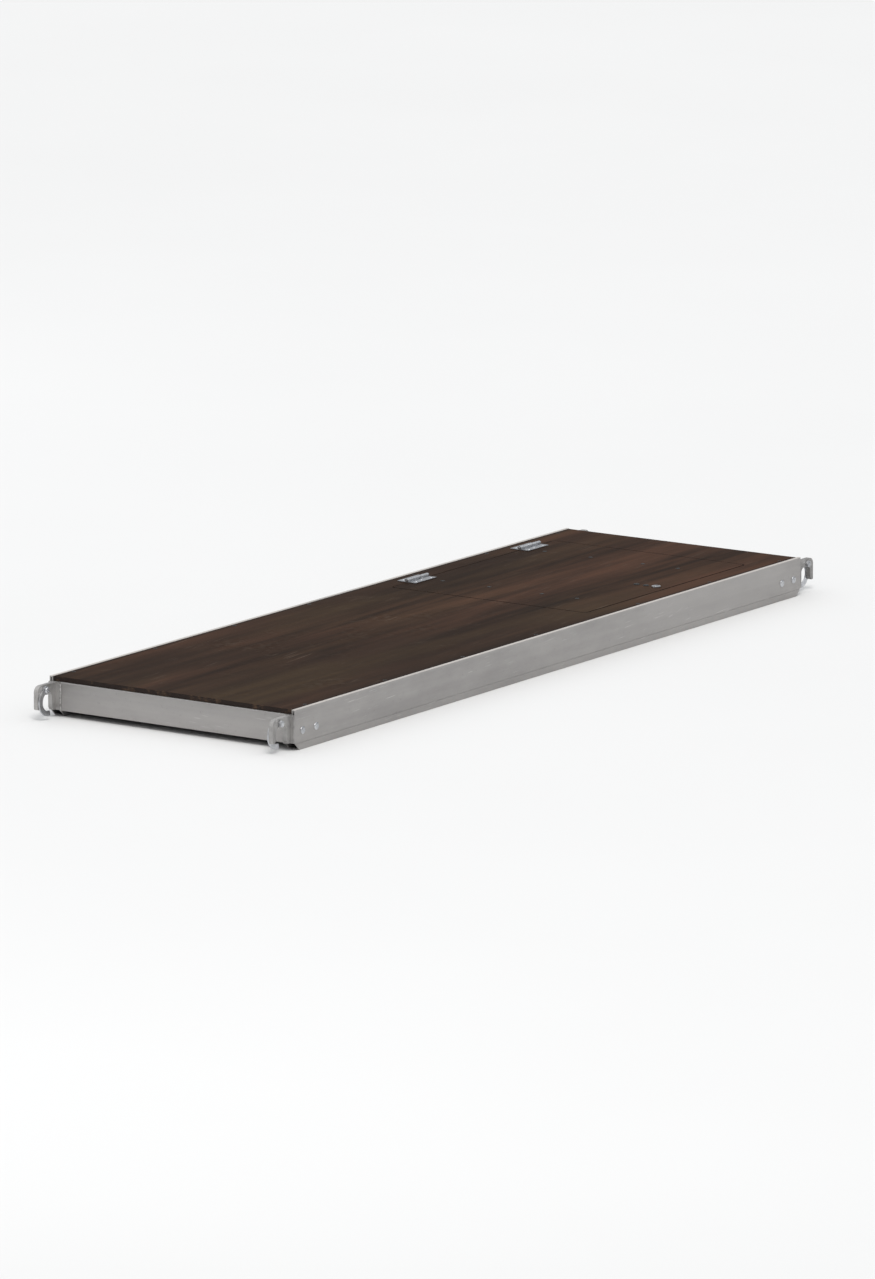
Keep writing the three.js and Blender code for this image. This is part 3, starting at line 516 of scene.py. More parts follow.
# %% Black steel and plastic
OXIDE_BLACK = (0.012, 0.012, 0.013)
OXIDE_RUBBED = (0.10, 0.10, 0.10)
PLASTIC_BLACK = (0.010, 0.010, 0.011)
PLASTIC_WORN = (0.035, 0.034, 0.033)


def black_oxide():
    """Blackened steel, rubbed grey in specks."""
    finish = Finish("black_oxide", "black_steel", Metallic=0.55)
    cloud = finish.noise(240, detail=3)
    rub = finish.noise(420, detail=3, shift=2).between(0.6, 0.72)
    colour = finish.mix(rub * 0.5, OXIDE_BLACK, OXIDE_RUBBED)
    return finish.done(colour, 0.34 + cloud * 0.2, cloud, 0.00004, 0.4)


def moulded_plastic():
    """The fine spark texture of a moulded grip, polished where fingers turn it."""
    finish = Finish("moulded_plastic", "black_plastic")
    spark = finish.noise(2200, detail=2)
    wear = finish.noise(60, detail=4, rough=0.6).between(0.5, 0.75)
    colour = finish.mix(wear * 0.5, PLASTIC_BLACK, PLASTIC_WORN)
    return finish.done(colour, 0.42 + wear * 0.2, spark, 0.00006, 0.6)


BLACK_OXIDE = black_oxide()
PLASTIC = moulded_plastic()

# %% Webbing
STRAP_LENGTH = 0.168
WEFT_PITCH = 2.1 * MM
RIB_COUNT = 9
WEB_DARK = (0.006, 0.006, 0.007)
WEB_LIGHT = (0.022, 0.022, 0.024)
WEB_DUST = (0.07, 0.065, 0.06)
THREAD_DARK = (0.05, 0.05, 0.05)
THREAD_LIGHT = (0.11, 0.11, 0.11)


def webbing():
    """Woven polyester: ribs along the strap, crossed by the weft, from the strap's UV map."""
    finish = Finish("webbing", "webbing", Specular_IOR_Level=0.35)
    place = finish.node("ShaderNodeTexCoord").output("UV")
    split = finish.node("ShaderNodeSeparateXYZ", None, [place])
    along = split.output("X") * (STRAP_LENGTH / WEFT_PITCH * math.tau)
    rib = split.output("Y") * (RIB_COUNT * math.tau)
    chevron = (along + rib.sine() * 1.1).sine()
    weave = rib.sine() * 0.5 + chevron * 0.5
    fuzz = finish.noise(1600, detail=3)
    dust = finish.noise(45, detail=4, rough=0.6).between(0.45, 0.75)
    colour = finish.mix(weave * 0.5 + 0.5, WEB_DARK, WEB_LIGHT)
    colour = finish.mix(dust * 0.35, colour, WEB_DUST)
    return finish.done(colour, 0.78 + fuzz * 0.15, weave + fuzz * 0.4, 0.0004, 0.8)


def sewing_thread():
    """Grey polyester thread, lighter and darker along each stitch."""
    finish = Finish("thread", "webbing")
    return finish.done(finish.mix(finish.noise(900), THREAD_DARK, THREAD_LIGHT), 0.7)


WEBBING = webbing()
THREAD = sewing_thread()
print("steel, plastic and webbing finishes made")

# %% [markdown]
# ## Turning shapes into pieces
#
# A piece is a plain mesh in the plank's own frame that rides on a CAD body and hides the CAD
# solids that it stands for; the slot of its first finish is kept by the finish. Modifiers and
# node trees are settled into the mesh before that.


# %% Pieces
def object_of(name, mesh):
    made = bpy.data.objects.new(name, mesh)
    bpy.context.scene.collection.objects.link(made)
    return made


def settle(made):
    """Turns what the modifiers make into the object's own mesh."""
    bpy.context.view_layer.update()
    depsgraph = bpy.context.evaluated_depsgraph_get()
    mesh = bpy.data.meshes.new_from_object(made.evaluated_get(depsgraph))
    made.modifiers.clear()
    made.data = mesh
    return made


def register(made, body, stands_for=()):
    """Parents a finished piece to its body and hides the CAD solids it stands for."""
    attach(made, body)
    if stands_for:
        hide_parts(*stands_for)
    return made


def mesh_of(work, name):
    """A clean mesh from a bmesh, which is freed."""
    mesh = bpy.data.meshes.new(name)
    work.verts.index_update()
    faces = [[v.index for v in face.verts] for face in work.faces]
    mesh.from_pydata([v.co[:] for v in work.verts], [], faces)
    work.free()
    return mesh


# %% [markdown]
# ## Rounding the edges of the CAD solids
#
# A CAD edge is perfectly sharp, and no real edge is: the thin highlight along a rounded edge is
# what makes metal look like metal. A copy of each solid is closed up, its flat faces are joined,
# and a Bevel modifier rounds the edges by the amount that its making would leave.

# %% Softened copies
WELD_DISTANCE = 0.002 * MM
FLAT_ANGLE = math.radians(0.5)
EDGE_ANGLE = math.radians(35)
TUBE_EDGE_ANGLE = math.radians(40)
SOFT_EDGE_ANGLE = math.radians(50)
HEAD_EDGE_ANGLE = math.radians(32)


def add_bevel(made, radius, segments=2):
    bevel = made.modifiers.new("rounded edges", "BEVEL")
    bevel.width = radius
    bevel.segments = segments
    bevel.limit_method = "ANGLE"
    bevel.angle_limit = EDGE_ANGLE
    bevel.harden_normals = True
    bevel.miter_outer = "MITER_ARC"


def shade_by_angle(mesh, angle=EDGE_ANGLE):
    mesh.shade_smooth()
    mesh.set_sharp_from_angle(angle=angle)


def softened(name, node, radius, finishes, segments=2):
    """A copy of a CAD solid with rounded edges."""
    work = bmesh.new()
    work.from_mesh(frame["nodes"][node].data)
    bmesh.ops.remove_doubles(work, verts=work.verts, dist=WELD_DISTANCE)
    bmesh.ops.dissolve_limit(work, angle_limit=FLAT_ANGLE, verts=work.verts, edges=work.edges)
    mesh = mesh_of(work, name)
    shade_by_angle(mesh)
    made = object_of(name, mesh)
    add_bevel(made, radius, segments)
    settle(made)
    for finish in finishes:
        made.data.materials.append(finish)
    return made


def soften(name, node, radius, finish, body, segments=2):
    """A softened copy that stands for its solid; the radius is in millimetres."""
    made = softened(name, node, radius * MM, [finish], segments)
    return register(made, body, [node])


# %% Rails, ledges and stiffeners
for side in SIDES:
    soften(f"rail_{side}", f"side_rail_{side}", 0.7, ALUMINIUM_ALONG, "frame")
for side in ("latch", "hinge"):
    soften(f"ledge_{side}", f"hatch_ledge_{side}_side", 0.4, ALUMINIUM_ALONG, "frame")
for end in ENDS:
    soften(f"stiffener_{end}", f"hatch_stiffener_{end}", 0.4, ALUMINIUM_ACROSS, "hatch")

# %% Hooks, wind locks and flat steel
for corner in CORNERS:
    lock = f"wind_lock_{corner}"
    soften(f"cast_hook_{corner}", f"hook_{corner}", 1.0, CAST_ALUMINIUM, "frame", segments=3)
    soften(f"stamped_lock_{corner}", lock, 0.5, ZINC, lock)
for end in ENDS:
    soften(f"hinge_outer_{end}", f"hinge_fixed_plate_{end}", 0.3, ZINC, "frame")
    soften(f"hinge_inner_{end}", f"hinge_moving_plate_{end}", 0.3, ZINC, "hatch")
    soften(f"hinge_bolt_{end}", f"hinge_pin_{end}", 0.4, ZINC, "frame")
soften("latch_guide", "latch_base", 0.4, ZINC, "hatch")
soften("latch_bar", "latch_tongue", 0.5, ZINC, "latch")
soften("slotted_spindle", "latch_spindle", 0.45, ZINC, "latch")
soften("strap_clamp", "strap_plate", 0.35, ZINC, "hatch")
print("softened copies made")

# %% [markdown]
# ## Plywood boards
#
# The deck and the trapdoor leaf are routed from one kind of board. Their long edges are eased by
# a small round, and the side faces take the edge finish with the plies.


# %% Deck and leaf
BOARD_ROUND = 0.8 * MM


def board(name, node, body):
    """A softened board with film on its faces and the edge finish round its sides."""
    made = softened(name, node, BOARD_ROUND, [PLYWOOD_FILM, PLYWOOD_EDGE])
    for face in made.data.polygons:
        face.material_index = 1 if abs(face.normal.z) < 0.5 else 0
    return register(made, body, [node])


board("deck_board", "deck_panel", "frame")
board("trapdoor_board", "hatch_leaf", "hatch")
print("boards made")

# %% [markdown]
# ## Box tubes by rule
#
# The end beams, cross members and trimmers are all rectangular tubes with rounded corners, so one
# geometry node tree makes them from five numbers. It draws the wall as the area between two
# rounded rectangles, extrudes it, and closes it with a flipped copy of the start.


# %% A geometry tree with named inputs
class Shaper(Tree):
    """A geometry node tree whose sizes are named inputs."""

    def __init__(self, name, **inputs):
        self.group = bpy.data.node_groups.new(name, "GeometryNodeTree")
        super().__init__(self.group)
        self.sockets = {}
        self.declare("Geometry", "Geometry")
        self.group.interface.new_socket("Geometry", in_out="OUTPUT", socket_type="NodeSocketGeometry")
        for label, kind in inputs.items():
            self.declare(label.replace("_", " "), kind)
        self.entry = self.nodes.new("NodeGroupInput")

    def declare(self, label, kind):
        made = self.group.interface.new_socket(label, in_out="INPUT", socket_type=f"NodeSocket{kind}")
        self.sockets[label] = made.identifier

    def given(self, label):
        found = [s for s in self.entry.outputs if s.identifier == self.sockets[label]]
        return Value(self, found[0])

    def join(self, *parts):
        joined = self.node("GeometryNodeJoinGeometry")
        for part in parts:
            self.links.new(part.socket, joined.socket.node.inputs[0])
        return joined

    def finish(self, geometry):
        """Ends the tree with real geometry in the given finish."""
        realized = self.node("GeometryNodeRealizeInstances", None, [geometry])
        values = {"Geometry": realized, "Material": self.given("Finish")}
        painted = self.node("GeometryNodeSetMaterial", None, values)
        self.links.new(painted.socket, self.nodes.new("NodeGroupOutput").inputs[0])

    def grow(self, made, **values):
        """Puts the tree on an object, sets its inputs and settles the result into the mesh."""
        modifier = made.modifiers.new(self.group.name, "NODES")
        modifier.node_group = self.group
        for label, value in values.items():
            modifier[self.sockets[label.replace("_", " ")]] = value
        return settle(made)


# %% The tube tree
INNER_CORNER_SHARE = 0.6  # how fast the corner's radius falls with the depth into the wall


def box_tube_tree():
    """A rectangular tube along X that starts at Place."""
    tree = Shaper("box_tube", Length="Float", Width="Float", Height="Float", Wall="Float",
                  Corner="Float", Place="Vector", Finish="Material")

    def rounded(inset):
        size = [tree.given("Width") - inset * 2, tree.given("Height") - inset * 2]
        rectangle = tree.node("GeometryNodeCurvePrimitiveQuadrilateral", None, size)
        corner = tree.given("Corner") - inset * INNER_CORNER_SHARE
        fillet = {"Curve": rectangle, "Radius": corner, "Count": 4}
        return tree.node("GeometryNodeFilletCurve", {"mode": "POLY"}, fillet)

    both = tree.join(rounded(tree.given("Wall") * 0), rounded(tree.given("Wall")))
    wall = tree.node("GeometryNodeFillCurve", {"mode": "TRIANGLES"}, [both])
    start = tree.node("GeometryNodeFlipFaces", None, [wall])
    offset = tree.node("ShaderNodeCombineXYZ", None, [0.0, 0.0, tree.given("Length")])
    values = {"Mesh": wall, "Offset": offset, "Offset Scale": 1.0, "Individual": False}
    bar = tree.node("GeometryNodeExtrudeMesh", {"mode": "FACES"}, values)
    merge = {"Geometry": tree.join(start, bar), "Distance": WELD_DISTANCE}
    solid = tree.node("GeometryNodeMergeByDistance", None, merge)
    turned = {"Geometry": solid, "Rotation": (math.pi / 2, 0, math.pi / 2),
              "Translation": tree.given("Place")}
    tree.finish(tree.node("GeometryNodeTransform", None, turned))
    return tree


# %% Six tubes across the plank
TUBE_WALL = 2.2 * MM
TUBE_CORNER = 2.6 * MM
TUBES = ["end_beam_front", "end_beam_rear", "cross_member_front", "cross_member_middle",
         "hatch_trimmer_front", "hatch_trimmer_rear"]
box_tube = box_tube_tree()
for node in TUBES:
    place = Box(node)
    tube = object_of(f"tube_{node}", bpy.data.meshes.new(node))
    start = (place.low.x, place.centre.y, place.centre.z)
    box_tube.grow(tube, Length=place.size.x, Width=place.size.y, Height=place.size.z, Place=start,
                  Wall=TUBE_WALL, Corner=TUBE_CORNER, Finish=ALUMINIUM_ACROSS)
    shade_by_angle(tube.data, TUBE_EDGE_ANGLE)
    register(tube, "frame", [node])
    print(node, len(tube.data.polygons), [round(x, 3) for x in tube.dimensions])

# %% [markdown]
# ## Weld beads
#
# Every tube is welded to the rails around three sides; the top side is left flat for the plywood.
# A hand-laid bead is a row of small overlapping puddles. The paths are drawn as plain edges, and a
# geometry node tree sweeps a circle along them, with a radius that grows and drops once for each
# puddle and a slight wander from a noise.


# %% The bead tree
PUDDLE_LOW = 0.80  # a bead's radius where a puddle starts, as a share of its full radius
PUDDLE_GROWTH = 0.24
WANDER_SCALE = 120.0


def bead_tree():
    """Beads along loose edges, swollen once for each puddle."""
    tree = Shaper("weld_bead", Radius="Float", Pitch="Float", Step="Float", Wander="Float",
                  Finish="Material")
    path = tree.node("GeometryNodeMeshToCurve", None, [tree.given("Geometry")])
    values = {"Curve": path, "Length": tree.given("Step")}
    dense = tree.node("GeometryNodeResampleCurve", {"mode": "LENGTH"}, values)
    travelled = tree.node("GeometryNodeSplineParameter").output("Length")
    puddle = (travelled / tree.given("Pitch")).fraction()
    radius = tree.given("Radius") * (PUDDLE_LOW + puddle * PUDDLE_GROWTH)
    numbers = {"Scale": WANDER_SCALE, "Detail": 1.0}
    noise = tree.node("ShaderNodeTexNoise", {"noise_dimensions": "3D"}, numbers).output("Color")
    centred = tree.node("ShaderNodeVectorMath", {"operation": "SUBTRACT"}, [noise, (0.5, 0.5, 0.5)])
    values = {"Vector": centred, "Scale": tree.given("Wander")}
    offset = tree.node("ShaderNodeVectorMath", {"operation": "SCALE"}, values)
    values = {"Geometry": dense, "Offset": offset}
    wandering = tree.node("GeometryNodeSetPosition", None, values)
    circle = tree.node("GeometryNodeCurvePrimitiveCircle", None, {"Resolution": 8, "Radius": 1.0})
    values = {"Curve": wandering, "Profile Curve": circle, "Scale": radius, "Fill Caps": True}
    tree.finish(tree.node("GeometryNodeCurveToMesh", None, values))
    return tree


# %% Paths around the tubes' ends
BEAD_RADIUS = 2.3 * MM
BEAD_OUT = 0.5 * MM  # how far a bead's middle stands out of the corner that it fills
BEAD_TOP_GAP = 4 * MM
BEAD_BEND = 4 * MM
BEND_STEPS = 4
PUDDLE_PITCH = 2.6 * MM


def edges_mesh(name, paths):
    """A mesh of loose edges, one chain for each path."""
    work = bmesh.new()
    for path in paths:
        verts = [work.verts.new(point) for point in path]
        for first, second in zip(verts, verts[1:]):
            work.edges.new((first, second))
    mesh = bpy.data.meshes.new(name)
    work.to_mesh(mesh)
    work.free()
    return mesh


def rounded_u(low, high, x):
    """Down one side of a tube, under it and up the other side, as points in a plane across X."""
    y = (low.y - BEAD_OUT, high.y + BEAD_OUT)
    top, bottom = high.z - BEAD_TOP_GAP, low.z - BEAD_OUT
    path = [(x, y[0], top), (x, y[0], bottom + BEAD_BEND)]
    for step in range(1, BEND_STEPS):
        turn = step / BEND_STEPS * math.pi / 2
        inward, down = BEAD_BEND * (1 - math.cos(turn)), BEAD_BEND * (1 - math.sin(turn))
        path.append((x, y[0] + inward, bottom + down))
    path.append((x, y[0] + BEAD_BEND, bottom))
    mirrored = [(x, y[0] + y[1] - point[1], point[2]) for point in reversed(path)]
    return path + mirrored


paths = []
for node in TUBES:
    low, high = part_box(node)
    paths += [rounded_u(low, high, low.x + BEAD_OUT), rounded_u(low, high, high.x - BEAD_OUT)]
beads = object_of("weld_beads", edges_mesh("weld_beads", paths))
bead_tree().grow(beads, Radius=BEAD_RADIUS, Pitch=PUDDLE_PITCH, Step=PUDDLE_PITCH / 4,
                 Wander=0.9 * MM, Finish=WELD_METAL)
shade_by_angle(beads.data, SOFT_EDGE_ANGLE)
register(beads, "frame")
print("weld beads:", len(beads.data.polygons), "faces")

# %% [markdown]
# ## Heads, nuts and washers
#
# Turned and forged parts are stacks of rings. Each ring has a height and a radius, and the radius
# may change round the ring, which gives hexagons, six-lobed recesses and fluted grips. A list of
# rings is closed at both ends with one point, so that every part is a solid.

# %% Solids from rings
HEX = 6
LOBE_DEPTH = 0.14
NUT_CHAMFER = math.tan(math.radians(30))


def ring_solid(name, rings, sides=24):
    """A closed mesh around Z from (radius, height) rings; either may be a function of the angle."""
    work = bmesh.new()
    loops = []
    for radius, height in rings:
        loop = []
        for step in range(sides):
            angle = math.tau * step / sides
            r = radius(angle) if callable(radius) else radius
            z = height(angle) if callable(height) else height
            loop.append(work.verts.new((r * math.cos(angle), r * math.sin(angle), z)))
        loops.append(loop)
    for lower, upper in zip(loops, loops[1:]):
        for step in range(sides):
            ahead = (step + 1) % sides
            work.faces.new((lower[step], lower[ahead], upper[ahead], upper[step]))
    work.faces.new(loops[0][::-1])
    work.faces.new(loops[-1])
    mesh = mesh_of(work, name)
    shade_by_angle(mesh, HEAD_EDGE_ANGLE)
    return mesh


def hexagon(across_flats):
    """The radius of a hexagon at an angle."""
    half = across_flats / 2

    def radius(angle):
        return half / math.cos((angle % (math.tau / HEX)) - math.pi / HEX)

    return radius


def six_lobes(radius):
    """The radius of a six-lobed recess at an angle."""
    return lambda angle: radius * (1 + LOBE_DEPTH * math.cos(HEX * angle))


def dome(radius, height, steps=6, flat=0.0):
    """Rings over a rounded head, from its rim to its middle."""
    rim = height * 0.12
    rings = [(radius * 0.985, 0), (radius, rim)]
    for step in range(1, steps + 1):
        turn = step / (steps + 1) * math.pi / 2
        rings.append((flat + (radius - flat) * math.cos(turn), rim + (height - rim) * math.sin(turn)))
    return rings


def hex_nut(name, across_flats, height, bore, thread_end=0.0):
    """A nut with its corners turned off by 30 degrees and the bolt's end in its middle."""
    corner = hexagon(across_flats)
    face = across_flats * 0.47

    def foot(angle):
        return (corner(angle) - face) * NUT_CHAMFER

    def top(angle):
        return height - foot(angle)

    rings = [(face, 0), (corner, foot), (corner, top), (face, height)]
    rings += [(bore * 1.12, height), (bore, height - bore * 0.2)]
    rings += [(bore * 0.97, height + thread_end * 0.7), (bore * 0.8, height + thread_end)]
    return ring_solid(name, rings, 36)


print("ring helpers ready")

# %% [markdown]
# ## Fasteners placed by rule
#
# Dozens of screws and rivets repeat over the plank, so their heads are made once and a tree puts
# one on each point of a small mesh. Each point carries the direction its head faces as an
# attribute. A random turn with a fixed seed keeps the recesses from lining up.


# %% The fastener tree
def fastener_tree():
    tree = Shaper("fasteners", Head="Object", Turn="Float", Seed="Int", Finish="Material")
    points = tree.node("GeometryNodeMeshToPoints", None, [tree.given("Geometry")])
    settings = {"data_type": "FLOAT_VECTOR"}
    facing = tree.node("GeometryNodeInputNamedAttribute", settings, {"Name": "facing"})
    values = {"Vector": facing}
    aimed = tree.node("FunctionNodeAlignRotationToVector", {"axis": "Z"}, values)
    values = {"Max_001": tree.given("Turn"), "Seed": tree.given("Seed")}
    turn = tree.node("FunctionNodeRandomValue", {"data_type": "FLOAT"}, values)
    spin = tree.node("ShaderNodeCombineXYZ", None, {"Z": turn})
    values = {"Rotation": aimed, "Rotate By": spin}
    turned = tree.node("FunctionNodeRotateRotation", {"rotation_space": "LOCAL"}, values)
    head = tree.node("GeometryNodeObjectInfo", None, {"Object": tree.given("Head")})
    values = {"Points": points, "Instance": head.output("Geometry"), "Rotation": turned}
    tree.finish(tree.node("GeometryNodeInstanceOnPoints", None, values))
    return tree


# %% Placing heads
fasteners = fastener_tree()


def place_heads(name, head, places, finish, body, stands_for=(), turn=math.tau, seed=1):
    """One piece with a copy of the head mesh at each (point, facing) of the places."""
    mesh = bpy.data.meshes.new(name)
    mesh.from_pydata([point for point, _ in places], [], [])
    facing = mesh.attributes.new("facing", "FLOAT_VECTOR", "POINT")
    facing.data.foreach_set("vector", [x for _, aim in places for x in aim])
    made = object_of(name, mesh)
    pattern = object_of(f"{name}_pattern", head)
    fasteners.grow(made, Head=pattern, Turn=turn, Seed=seed, Finish=finish)
    bpy.data.objects.remove(pattern)
    print(name, len(places), "heads,", len(made.data.polygons), "faces")
    return register(made, body, stands_for)


# %% Which way a fastener faces
UP = (0, 0, 1)
DOWN = (0, 0, -1)


def outer_x(box, side):
    """The X of a box's face that is towards the outside of the plank on that side."""
    return box.high.x if side > 0 else box.low.x


# %% [markdown]
# ### Rivets and bolts of the hooks
#
# Two large blind rivets hold each hook in its rail, and leave a low dome with the broken mandrel in
# its middle. The wind lock turns on a socket bolt with a nut behind the hook. A rivet's head is
# seated on the rail's outer face, and a bolt's head on the inner side of the hook, so the side of
# the plank decides which way each one faces.

# %% Hook rivets
RIVET_RISE = 2.4 * MM
rivet_nodes, places = [], []
for corner in CORNERS:
    hand = corner.split("_")[1]
    face = outer_x(Box(f"side_rail_{hand}"), SIDES[hand])
    for node in (f"hook_rivet_{corner}_1", f"hook_rivet_{corner}_2"):
        rivet = Box(node)
        places.append(((face, rivet.centre.y, rivet.centre.z), (SIDES[hand], 0, 0)))
        rivet_nodes.append(node)

rings = dome(rivet.size.z / 2, RIVET_RISE, 7, rivet.size.z * 0.15)
rings += [(rivet.size.z * 0.135, RIVET_RISE * 0.97), (rivet.size.z * 0.125, RIVET_RISE * 0.72)]
head = ring_solid("hook_rivet_head", rings, 32)
place_heads("hook_rivets", head, places, ZINC, "frame", rivet_nodes)

# %% A pivot bolt's shape
BOLT_HEAD_HEIGHT = 3.5 * MM
BOLT_HEAD_EDGE = 0.25 * MM
BOLT_HEAD_CURVE = math.radians(62)
BOLT_RADIUS = 4 * MM
SOCKET_ACROSS = 5 * MM
SOCKET_DEPTH = 2.2 * MM


def pivot_bolt(bolt):
    """A round head with a hexagon socket on a plain shank."""
    shank = bolt.size.x - BOLT_HEAD_HEIGHT - 4 * MM
    radius = bolt.size.z / 2
    curved = BOLT_HEAD_HEIGHT - BOLT_HEAD_EDGE
    rings = [(BOLT_RADIUS * 0.85, -shank), (BOLT_RADIUS, -shank + 0.6 * MM), (BOLT_RADIUS, 0)]
    rings += [(radius * 0.97, 0), (radius, BOLT_HEAD_EDGE)]
    for step in range(1, 6):
        turn = step / 6 * BOLT_HEAD_CURVE
        rise = math.sin(turn) / math.sin(BOLT_HEAD_CURVE)
        rings.append((radius * math.cos(turn), BOLT_HEAD_EDGE + curved * rise))
    rings.append((hexagon(SOCKET_ACROSS), BOLT_HEAD_HEIGHT))
    rings.append((hexagon(SOCKET_ACROSS * 0.97), BOLT_HEAD_HEIGHT - SOCKET_DEPTH))
    return ring_solid("pivot_bolt", rings, 36)


# %% Pivot bolts and their nuts
THREAD_END = 1.0 * MM  # how far a bolt stands out of its nut
bolts, nuts = [], []
for corner in CORNERS:
    bolt, nut = Box(f"pivot_bolt_{corner}"), Box(f"pivot_nut_{corner}")
    side = SIDES[corner.split("_")[1]]
    seat = outer_x(bolt, -side) + side * BOLT_HEAD_HEIGHT
    bolts.append(((seat, bolt.centre.y, bolt.centre.z), (-side, 0, 0)))
    nuts.append(((outer_x(nut, -side), nut.centre.y, nut.centre.z), (side, 0, 0)))

bolt, nut = Box("pivot_bolt_front_left"), Box("pivot_nut_front_left")
place_heads("pivot_bolts", pivot_bolt(bolt), bolts, ZINC, "frame",
            [f"pivot_bolt_{corner}" for corner in CORNERS], seed=2)
head = hex_nut("pivot_nut", min(nut.size.y, nut.size.z), nut.size.x, BOLT_RADIUS, THREAD_END)
place_heads("pivot_nuts", head, nuts, ZINC, "frame",
            [f"pivot_nut_{corner}" for corner in CORNERS], seed=3)

# %% [markdown]
# ### Screws and rivets in the boards
#
# Countersunk screws hold the deck down along both rails. They are blackened, and level with the
# film to within a fraction of a millimetre, so they hardly show from a distance. The trapdoor's
# stiffeners are riveted on, with a flat head above and a tail inside the channel below. They could
# be painted on by a material, but real heads catch the light and cast a thin shadow.

# %% Screws in the deck
DECK_SCREW_RADIUS = 4.6 * MM
DECK_SCREW_RISE = 0.3 * MM
DECK_SCREW_EDGE = 8.5 * MM  # from the deck's long edge
DECK_SCREW_ROWS = [-905, -620, -335, -60, 335, 620, 905]  # along the plank, in millimetres
LOBE_RADIUS = 1.9 * MM


def sunk_screw(name, radius, rise):
    """A countersunk head with a six-lobed recess, standing out by the rise."""
    rings = [(radius * 0.8, -0.6 * MM), (radius, -0.2 * MM), (radius, rise * 0.5)]
    rings += [(radius * 0.93, rise), (six_lobes(LOBE_RADIUS), rise)]
    return ring_solid(name, rings + [(six_lobes(LOBE_RADIUS * 0.9), rise - 1.1 * MM)], 36)


reach = deck.high.x - DECK_SCREW_EDGE
places = [((side * reach, row * MM, deck.high.z), UP) for side in (-1, 1) for row in DECK_SCREW_ROWS]
head = sunk_screw("deck_screw", DECK_SCREW_RADIUS, DECK_SCREW_RISE)
place_heads("deck_screws", head, places, BLACK_OXIDE, "frame", seed=4)

# %% Rivets through the trapdoor into its stiffeners
STIFFENER_RIVETS = [-195, -75, 60, 150]  # along a stiffener, in millimetres
STIFFENER_WALL = 2 * MM
heads, tails = [], []
for end in ENDS:
    stiffener = Box(f"hatch_stiffener_{end}")
    for x in STIFFENER_RIVETS:
        heads.append(((x * MM, stiffener.centre.y, leaf.high.z), UP))
        tails.append(((x * MM, stiffener.centre.y, stiffener.high.z - STIFFENER_WALL), DOWN))
head = ring_solid("flat_rivet", dome(5 * MM, 0.9 * MM, 5, 2.2 * MM))
place_heads("stiffener_rivets", head, heads, BLACK_OXIDE, "hatch", seed=5)
head = ring_solid("rivet_tail", dome(3.4 * MM, 1.8 * MM, 4, 1.5 * MM))
place_heads("stiffener_rivet_tails", head, tails, ZINC, "hatch", seed=6)

# %% [markdown]
# ### Fasteners of the hinges and the latch
#
# Each hinge plate has three pan-head screws. The screws of the fixed plates stay with the frame, and
# those of the moving plates swing with the trapdoor, so they are two pieces. Two black rivets hold
# the latch's guide under the trapdoor, and a nut locks the tongue on the spindle.

# %% Screws in the hinges
HINGE_SCREWS = [(-28, 17), (0, 12), (28, 17)]  # along the pin, out from the pin
HINGE_SCREW_RADIUS = 3.7 * MM
HINGE_SCREW_RISE = 1.5 * MM
HINGE_PLATE = 2 * MM


def pan_screw(name, radius, rise):
    """A low round head with a six-lobed recess."""
    rings = dome(radius, rise, 4, radius * 0.62)
    rings += [(six_lobes(LOBE_RADIUS), rise * 0.98), (six_lobes(LOBE_RADIUS), rise * 0.18)]
    return ring_solid(name, rings, 36)


for word, side, body, seed in (("fixed", -1, "frame", 7), ("moving", 1, "hatch", 8)):
    places = []
    for end in ENDS:
        pin = Box(f"hinge_pin_{end}").centre
        top = Box(f"hinge_{word}_plate_{end}").low.z + HINGE_PLATE
        for along, out in HINGE_SCREWS:
            places.append(((pin.x + side * out * MM, pin.y + along * MM, top), UP))
    head = pan_screw(f"hinge_screw_{word}", HINGE_SCREW_RADIUS, HINGE_SCREW_RISE)
    place_heads(f"hinge_screws_{word}", head, places, ZINC, body, seed=seed)

# %% Latch rivets
latch_rivets = [Box("latch_rivet_1"), Box("latch_rivet_2")]
guide = Box("latch_base")
first = latch_rivets[0]
tops = [((r.centre.x, r.centre.y, leaf.high.z), UP) for r in latch_rivets]
rings = dome(first.size.x / 2, first.high.z - leaf.high.z, 7, 1 * MM)
place_heads("latch_rivet_heads", ring_solid("black_rivet", rings, 32), tops, BLACK_OXIDE, "hatch",
            ["latch_rivet_1", "latch_rivet_2"], seed=9)
feet = [((r.centre.x, r.centre.y, guide.low.z), DOWN) for r in latch_rivets]
rings = dome(4.6 * MM, guide.low.z - first.low.z, 5, 2 * MM)
place_heads("latch_rivet_tails", ring_solid("black_tail", rings), feet, BLACK_OXIDE, "hatch", seed=10)

# %% Latch nut
SPINDLE_THREAD_RADIUS = 5.6 * MM
nut = Box("latch_nut")
thread = nut.low.z - Box("latch_spindle").low.z
across = min(nut.size.x, nut.size.y)
head = hex_nut("latch_hex", across, nut.size.z, SPINDLE_THREAD_RADIUS, thread)
place_heads("latch_lock_nut", head, [((nut.centre.x, nut.centre.y, nut.high.z), DOWN)], ZINC, "latch",
            ["latch_nut"], turn=0.0)

# %% [markdown]
# ## The latch's knob
#
# A finger knob under the trapdoor turns the latch from below. Moulded knobs have soft flutes for
# grip, which a ring of varying radius gives in one step. The ends stay round.

# %% Knob
KNOB_FLUTES = 10
FLUTE_DEPTH = 0.045
# Radius and height, as shares of the knob's
KNOB_PROFILE = [(0.55, 0.0), (0.82, 0.02), (0.94, 0.09), (1.0, 0.2), (1.0, 0.74), (0.94, 0.86),
                (0.78, 0.93), (0.6, 0.96), (0.6, 1.0)]


def fluted(radius):
    """The radius at an angle, with its crests at the full radius."""
    return lambda angle: radius * (1 + FLUTE_DEPTH * (math.cos(KNOB_FLUTES * angle) - 1))


